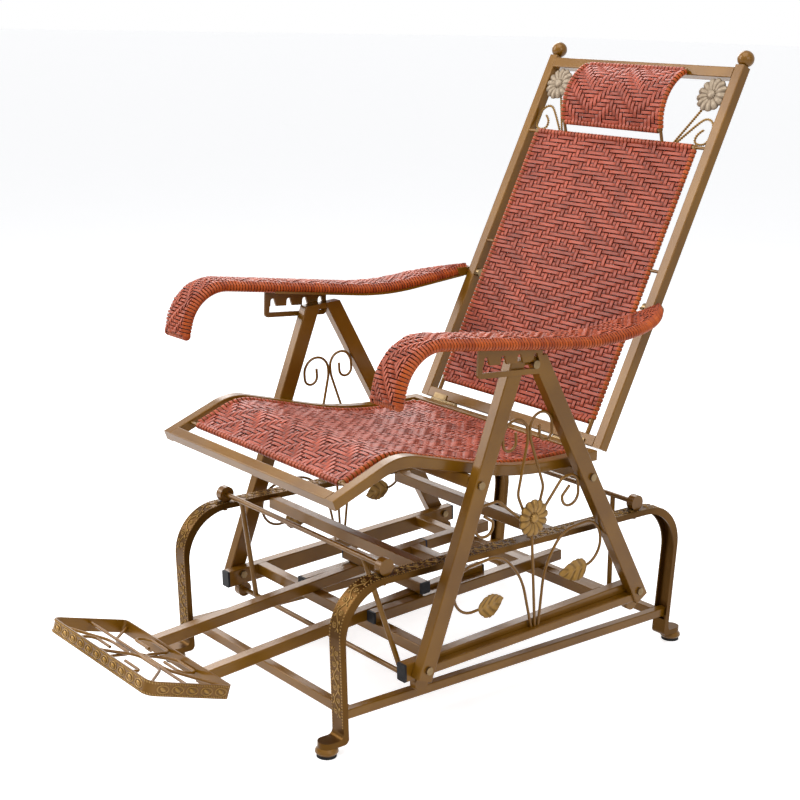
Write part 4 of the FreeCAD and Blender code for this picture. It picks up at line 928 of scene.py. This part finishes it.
def arm_lengths(profile, marks, heights):
    """The straps that run along the left arm, in all slots but the outermost."""
    reach = profile.length / 2
    straps = []
    for slot, strap_heights in zip(ARM_SLOTS[1:-1], heights[1:-1]):
        along, rise, out, up, wrap, under = strap_path(reach, marks - reach, strap_heights, ARM_DEPTH / 2)
        point, tangent, normal = profile.at(along + reach)
        middle, half = arm_span(point[:, 1] - SHIFT_Y)
        flat = arm_flat(half)
        across = slot * flat
        level = rise + np.where(wrap > 0, -ARM_DEPTH / 2, arm_crown(across, half))
        centres = point + (middle + across)[:, None] * ACROSS + level[:, None] * normal
        normals = out[:, None] * tangent + up[:, None] * normal
        pitch = 2 * flat / ARM_SLOT_COUNT
        warmth = np.maximum(wrap, ARM_WARMTH)
        straps.append(strap_track(centres, normals, -ACROSS, pitch, LONG_SPREAD, warmth, under))
    return straps


def arm_corners(profile, pitch):
    """Straps fanned round both corners of the left arm's front end."""
    point, tangent, normal = (v[0] for v in profile.at(0.0))
    middle, half = arm_span(point[1] - SHIFT_Y)
    turns = ARM_FAN_TURNS[:, None]
    straps = []
    for side in (-1, 1):
        corner = point + (middle + side * (half - ARM_EDGE)) * ACROSS - ARM_DEPTH / 2 * normal
        for fan in ARM_FAN:
            out = math.cos(fan) * side * ACROSS - math.sin(fan) * tangent
            normals = np.cos(turns) * out + np.sin(turns) * normal
            centres = corner + ARM_EDGE * np.cos(turns) * out + ARM_DEPTH / 2 * np.sin(turns) * normal
            bare = np.zeros(len(centres))
            straps.append(strap_track(centres, normals, np.cross(normal, out), pitch, 1.0, 1.0, bare))
    return straps


def arms():
    """Both arms: straps round the front corners, wraps and long straps, on a core."""
    profile = Profile(rounded(ARM_POINTS, ARM_BENDS))
    pitch = profile.length / ARM_WRAPS
    marks = (np.arange(ARM_WRAPS) + 0.5) * pitch
    over = herringbone(zigzag(ARM_WRAPS, ARM_FOLD), np.arange(ARM_SLOT_COUNT))
    # The wraps stay on top in the outermost slots, where no long strap runs
    over[:, [0, -1]] = True
    straps = arm_corners(profile, pitch)
    wraps, core = arm_wraps(profile, marks, pitch, ARM_RELIEF * crossing_heights(over))
    straps += wraps + arm_lengths(profile, marks, ARM_RELIEF * crossing_heights(~over.T))
    for side, mirror in SIDES:
        piece = track_mesh(side + "_arm_straps", straps, mirror)
        place(piece, side + "_arm", STRAND, "woven_strand", side + "_arm_weave")
        place(track_mesh(side + "_arm_core", [core], mirror), side + "_arm", STRAND, "woven_strand")


# Flowers, leaves and stems

def flower_tracks(centre, face, up):
    """A daisy that looks along face: creased petals on a dish, with a beaded button."""
    side = np.cross(up, face)
    turns = np.linspace(0, 2 * np.pi, FLOWER_PETALS * PETAL_STEPS, endpoint=False)
    lobe = np.abs(np.cos(FLOWER_PETALS * turns / 2))
    outer = FLOWER_RADIUS * (1 - PETAL_NOTCH + PETAL_NOTCH * lobe ** PETAL_ROUNDNESS)
    spokes = outer[:, None] * (np.cos(turns)[:, None] * side + np.sin(turns)[:, None] * up)
    fold = PETAL_FOLD * lobe ** PETAL_FOLD_POWER - PETAL_CREASE * (lobe > PETAL_MIDDLE)
    rings = [centre + spread * spokes for spread in DISH_REAR]
    for spread, rise in DISH:
        height = rise + fold * min(1, FOLD_FADE[0] * spread - FOLD_FADE[1])
        rings.append(centre + spread * spokes + height[:, None] * face)
    # Painted shade in the valleys between the petals
    valleys = PETAL_SHADE * (1 - lobe ** PETAL_SHADE_POWER)
    button = centre + BUTTON_PLANE * face
    tracks = [Track(rings, painted_shade=valleys[None, :]), dome_track(button, face, side, BUTTON)]
    for turn in np.linspace(0, 2 * np.pi, BUTTON_BEADS, endpoint=False):
        spot = button + BUTTON_BEAD_RING * (math.cos(turn) * side + math.sin(turn) * up)
        tracks.append(dome_track(spot, face, side, BUTTON_BEAD))
    return tracks


def leaf_track(stalk, tip_way, face):
    """A toothed, veined leaf from its stalk along tip_way."""
    side = np.cross(face, tip_way)
    shares = np.linspace(-1, 1, LEAF_STEPS[1])
    rings = []
    painted_shade = []
    for t in np.linspace(0.0, 1.0, LEAF_STEPS[0]):
        belly = math.sin(math.pi * t ** LEAF_LEAN) ** LEAF_FULLNESS
        tooth = 1 + LEAF_TOOTH * (1 - (LEAF_TEETH * t) % 1) * (t < LEAF_LAST_TOOTH)
        half = max(LEAF_WIDTH / 2 * belly * tooth, LEAF_LEAST_HALF)
        wave = np.cos(2 * np.pi * (LEAF_VEINS * t - VEIN_SLANT * np.abs(shares)))
        vein = VEIN_HEIGHT * wave * (1 - np.abs(shares)) ** VEIN_FADE * belly
        rib = np.exp(-(shares * half / RIB_WIDTH) ** 2)
        curl = LEAF_CUP * np.abs(shares) ** LEAF_CUP_POWER * belly - LEAF_DROOP * t ** 2
        top = (LEAF_RAISE + vein + RIB_HEIGHT * rib + curl)[:, None]
        line = stalk + t * LEAF_LENGTH * tip_way + shares[:, None] * half * side
        rings.append(np.vstack([line + top * face, (line + (top - LEAF_THICKNESS) * face)[::-1]]))
        # Painted shade in the hollows between the veins, away from the rib
        hollow = VEIN_SHADE * np.clip(-VEIN_CONTRAST * wave - 1 - 2 * rib, 0, 1)
        painted_shade.append(np.append(hollow, hollow[::-1]))
    return Track(rings, painted_shade=painted_shade)


def in_space(x, spot):
    """A point in space, from x and a side-view point."""
    return np.array([x, spot[0] + SHIFT_Y, spot[1]])


def scroll_point(x, out, up):
    """A point in space, by x and its place out from the scrollwork's stem and up it."""
    return in_space(x, leaning_point(SCROLL_FOOT, SCROLL_LEAN, up, out))


def side_ornament():
    """Flowers and leaves on the scrollwork under the arms."""
    stem_way = scroll_point(0, 0, 1) - scroll_point(0, 0, 0)
    flower = flower_tracks(scroll_point(SIDE_FLOWER[0], 0, SIDE_FLOWER[1]), ACROSS, stem_way)
    inner = scroll_point(SCROLL_X, 0, LEAF_STALK[1])
    leaves = []
    for front in (1, -1):
        stalk = scroll_point(SCROLL_X, front * LEAF_STALK[0], LEAF_STALK[1])
        leaves.append(leaf_track(stalk, unit(inner - stalk), ACROSS))
    place_both("side_flower", flower, "chassis", RELIEF, "side_flowers")
    place_both("side_leaf", leaves, "chassis", RELIEF, "side_leaves")


def smooth_line(points):
    """A flowing line from the first point to the last, drawn towards those between as a quadratic spline."""
    points = np.array(points, float)
    middles = (points[:-1] + points[1:]) / 2
    starts = np.vstack([points[:1], middles[1:]])
    ends = np.vstack([middles[1:-1], points[-1:]])
    line = [points[0]]
    for before, corner, after in zip(starts, points[1:-1], ends):
        for t in np.linspace(0, 1, STEM_STEPS)[1:]:
            line.append((1 - t) ** 2 * before + 2 * t * (1 - t) * corner + t ** 2 * after)
    return np.array(line)


def twisted_tracks(points):
    """Two wires twisted round each other along a line on the back."""
    walk = walk_along(points)
    even = np.arange(0, walk[-1], STEM_TWIST / TWIST_STEPS)
    line = line_at(even, walk, points)
    angle = 2 * np.pi * even / STEM_TWIST
    return [tube_track(line, STEM_WIRE, BACK_FRONT, twist=(STEM_WIRE, angle + start)) for start in (0, np.pi)]


def back_ornament():
    """Flowers on twisted stems beside the headrest."""
    def spot(x, along):
        return in_space(x, back_point(along, STEM_PLANE))

    x, along = BACK_FLOWER
    foot_x, foot = STEM_FOOT
    back_way = spot(0, 1) - spot(0, 0)
    flower = flower_tracks(spot(x, along) + BACK_FLOWER_LIFT * BACK_FRONT, BACK_FRONT, back_way)
    stem = [spot(foot_x, foot), spot(foot_x + STEM_KNEE[0], foot + STEM_KNEE[1]), spot(x, along)]
    hook = [spot(foot_x + HOOK_FOOT, foot)] + [spot(x + out, along + up) for out, up in HOOK]
    stems = twisted_tracks(smooth_line(stem)) + twisted_tracks(smooth_line(hook))
    place_both("back_flower", flower, "back", CHAMPAGNE, "back_flowers")
    place_both("back_stem", stems, "back", RELIEF, "back_stems")


# Embossed arches and footrest rim

def arch_relief():
    """Beads along both edges of each arch and stretches of vine between them."""
    profile = Profile(rounded(ARCH_POINTS, ARCH_BENDS))
    point, tangent, normal = profile.at(np.arange(ARCH_BARE, profile.length - ARCH_BARE, ARCH_BEAD_PITCH))
    face = point + ARCH_FACE * normal + ARCH_X * ACROSS
    tracks = []
    for side in (-1, 1):
        edge = side * (ARCH_HALF - ARCH_BEAD_INSET) * ACROSS
        for spot, way, out in zip(face, tangent, normal):
            tracks.append(dome_track(spot + edge, out, way, ARCH_BEAD))
    pitch = VINE_STRETCH + VINE_GAP
    count = int((profile.length - 2 * ARCH_BARE) // pitch)
    start = (profile.length - count * pitch + VINE_GAP) / 2
    for k in range(count):
        tracks += vine(profile, start + k * pitch)
    place_both("arch_relief", tracks, "base", RELIEF)


def vine(profile, start):
    """A waving stem with curled tendrils and leaf bosses along one stretch of an arch."""
    def line(marks, across):
        point, _, normal = profile.at(start + marks)
        return point + (ARCH_FACE + VINE_PLANE) * normal + (ARCH_X + across)[:, None] * ACROSS, normal

    marks = np.linspace(0, VINE_STRETCH, VINE_STEPS)
    points, normals = line(marks, VINE_SWAY * np.sin(2 * np.pi * VINE_WAVES * marks / VINE_STRETCH))
    taper = np.sin(np.pi * np.linspace(VINE_ENDS, 1 - VINE_ENDS, VINE_STEPS)) ** VINE_TAPER
    tracks = [tube_track(points, VINE_STEM * taper, normals, VINE_FLATNESS, flank_shade=1.0)]
    reach = TENDRIL_REACH * (1 - TENDRIL_TURNS / TENDRIL_CLOSED)
    for k in range(2 * VINE_WAVES):
        side = 1 if k % 2 else -1
        centre = (k + 0.5) * VINE_STRETCH / (2 * VINE_WAVES)
        aside = side * (TENDRIL_ASIDE + reach * np.sin(TENDRIL_TURNS))
        points, normals = line(centre + reach * np.cos(TENDRIL_TURNS), aside)
        tracks.append(tube_track(points, TENDRIL, normals, VINE_FLATNESS, flank_shade=1.0))
        leaf_marks = np.array([centre - VINE_LEAF_ALONG, centre + VINE_LEAF_ALONG])
        for spot, out in zip(*line(leaf_marks, np.full(2, -side * VINE_LEAF_ASIDE))):
            way = unit(np.cross(out, ACROSS) + VINE_LEAF_LEAN * side * ACROSS)
            tracks.append(dome_track(spot, out, way, VINE_LEAF))
    return tracks


def rim_relief():
    """Oval coins with leaves round the footrest's rim, between two roped edges."""
    loop = [
        (0, 0), (RIM_REAR_HALF, 0), (RIM_FRONT_HALF, -RIM_LENGTH),
        (-RIM_FRONT_HALF, -RIM_LENGTH), (-RIM_REAR_HALF, 0), (0, 0),
    ]
    plan = rounded(loop, RIM_BENDS + RIM_BENDS[::-1], RIM_STEPS)
    walk = walk_along(plan)
    along = np.array([0, math.cos(RIM_TILT), -math.sin(RIM_TILT)])
    up = np.array([0, math.sin(RIM_TILT), math.cos(RIM_TILT)])
    base = in_space(0, RIM_REAR)

    def at(marks, drop):
        flat = line_at(marks, walk, plan)
        way = unit(line_at(marks + RIM_NEARBY, walk, plan) - flat)
        spots = base + flat[:, :1] * ACROSS + flat[:, 1:] * along - drop * up
        ways = way[:, :1] * ACROSS + way[:, 1:] * along
        return spots, ways, np.cross(up, ways)

    tracks = []
    clear = COIN_RING[0] + COIN_ROOM
    # Coins stand on the straight sides, from the end of one rounded corner to the start of the next
    bends = np.arange(1, len(plan) - 1, RIM_STEPS)
    for start, end in zip(walk[bends + RIM_STEPS - 1], walk[bends[1:]]):
        count = 1 + round((end - start - 2 * clear) / COIN_PITCH)
        for spot, way, out in zip(*at(np.linspace(start + clear, end - clear, count), RIM_HEIGHT / 2)):
            leaf_way = unit(way + COIN_LEAN * up)
            tracks.append(ring_track(spot, out, way, COIN_RING))
            tracks.append(dome_track(spot, out, leaf_way, COIN_LEAF))
            tracks.append(dome_track(spot + COIN_RIB_RAISE * out, out, leaf_way, COIN_RIB))
    first = RIM_REAR_HALF + RIM_REAR_BARE
    last = walk[-1] - first
    rope_marks = np.linspace(first, last, round((last - first) / ROPE_PITCH))
    for drop in (ROPE_INSET, RIM_HEIGHT - ROPE_INSET):
        for spot, way, out in zip(*at(rope_marks, drop)):
            tracks.append(dome_track(spot, out, unit(way + ROPE_LEAN * up), ROPE_STRAND))
    place(track_mesh("footrest_relief", tracks), "footrest", RELIEF, "gold_frame")


# Stage

def show(add, links, lit, seen, output):
    """The seen shader for the camera and the chair's gloss, and the lit one for all other light."""
    rays = add("ShaderNodeLightPath")
    direct = add("ShaderNodeMath", Value=rays.outputs["Is Camera Ray"])
    direct.operation = "MAXIMUM"
    links.new(rays.outputs["Is Glossy Ray"], direct.inputs[1])
    mix = add("ShaderNodeMixShader", Fac=direct.outputs["Value"])
    links.new(lit, mix.inputs[1])
    links.new(seen, mix.inputs[2])
    links.new(mix.outputs["Shader"], output.inputs["Surface"])


def floor():
    """A pale floor that meets the white background and keeps the chair's soft shadow."""
    mesh = bpy.data.meshes.new("floor")
    reach = FLOOR_REACH
    corners = [(-reach, -reach, 0), (reach, -reach, 0), (reach, reach, 0), (-reach, reach, 0)]
    mesh.from_pydata(corners, [], [(0, 1, 2, 3)])
    material, shader, add, links = new_material("pale_floor")
    colour = ramp(add, noise(add, FLOOR_SCALE), PLAIN_STOPS, FLOOR_TONES)
    feed_inputs(links, shader, Base_Color=colour, Roughness=FLOOR_ROUGHNESS)
    glow = add("ShaderNodeEmission", Strength=FLOOR_GLOW)
    both = add("ShaderNodeAddShader")
    links.new(shader.outputs["BSDF"], both.inputs[0])
    links.new(glow.outputs["Emission"], both.inputs[1])
    output = material.node_tree.nodes["Material Output"]
    show(add, links, shader.outputs["BSDF"], both.outputs["Shader"], output)
    mesh.materials.append(material)
    new_object("floor", mesh)


def area_light(name, spot, size, power):
    """A soft lamp, size metres wide and high, that looks at the chair's middle."""
    lamp = bpy.data.lights.new(name, "AREA")
    lamp.shape = "RECTANGLE"
    lamp.size, lamp.size_y = size
    lamp.energy = power
    piece = new_object(name, lamp)
    piece.location = spot
    piece.rotation_euler = (Vector(LAMP_TARGET) - Vector(spot)).to_track_quat("-Z", "Y").to_euler()


def lights():
    """A white studio: even light all round, a large lamp above and weaker ones at three sides."""
    world = bpy.data.worlds.new("studio")
    bpy.context.scene.world = world
    world.use_nodes = True
    nodes, links = world.node_tree.nodes, world.node_tree.links
    add = node_adder(world.node_tree)
    sky = nodes["Background"]
    feed_inputs(links, sky, Color=(*SKY_TONE, 1), Strength=SKY_STRENGTH)
    white = add("ShaderNodeBackground", Color=(1, 1, 1, 1), Strength=1.0)
    show(add, links, sky.outputs["Background"], white.outputs["Background"], nodes["World Output"])
    for name, values in LAMPS.items():
        area_light(name, *values)


def camera():
    """The photograph's camera."""
    azimuth = Matrix.Rotation(CAMERA_AZIMUTH, 4, "Z")
    tilt = Matrix.Rotation(math.pi / 2 - CAMERA_ELEVATION, 4, "X")
    roll = Matrix.Rotation(CAMERA_ROLL, 4, "Z")
    data = bpy.data.cameras.new("camera")
    data.sensor_width = SENSOR
    data.lens = SENSOR * CAMERA_FOCUS / IMAGE_SIDE
    piece = new_object("camera", data)
    spot = Vector(CAMERA_PLACE) + Vector((0, SHIFT_Y, 0))
    piece.matrix_world = Matrix.Translation(spot) @ azimuth @ tilt @ roll
    bpy.context.scene.camera = piece


bpy.context.scene.view_settings.view_transform = "Standard"
dress_frame()
back_panel()
seat_panel()
headrest_panel()
arms()
side_ornament()
back_ornament()
arch_relief()
rim_relief()
floor()
lights()
camera()

bpy.context.view_layer.update()
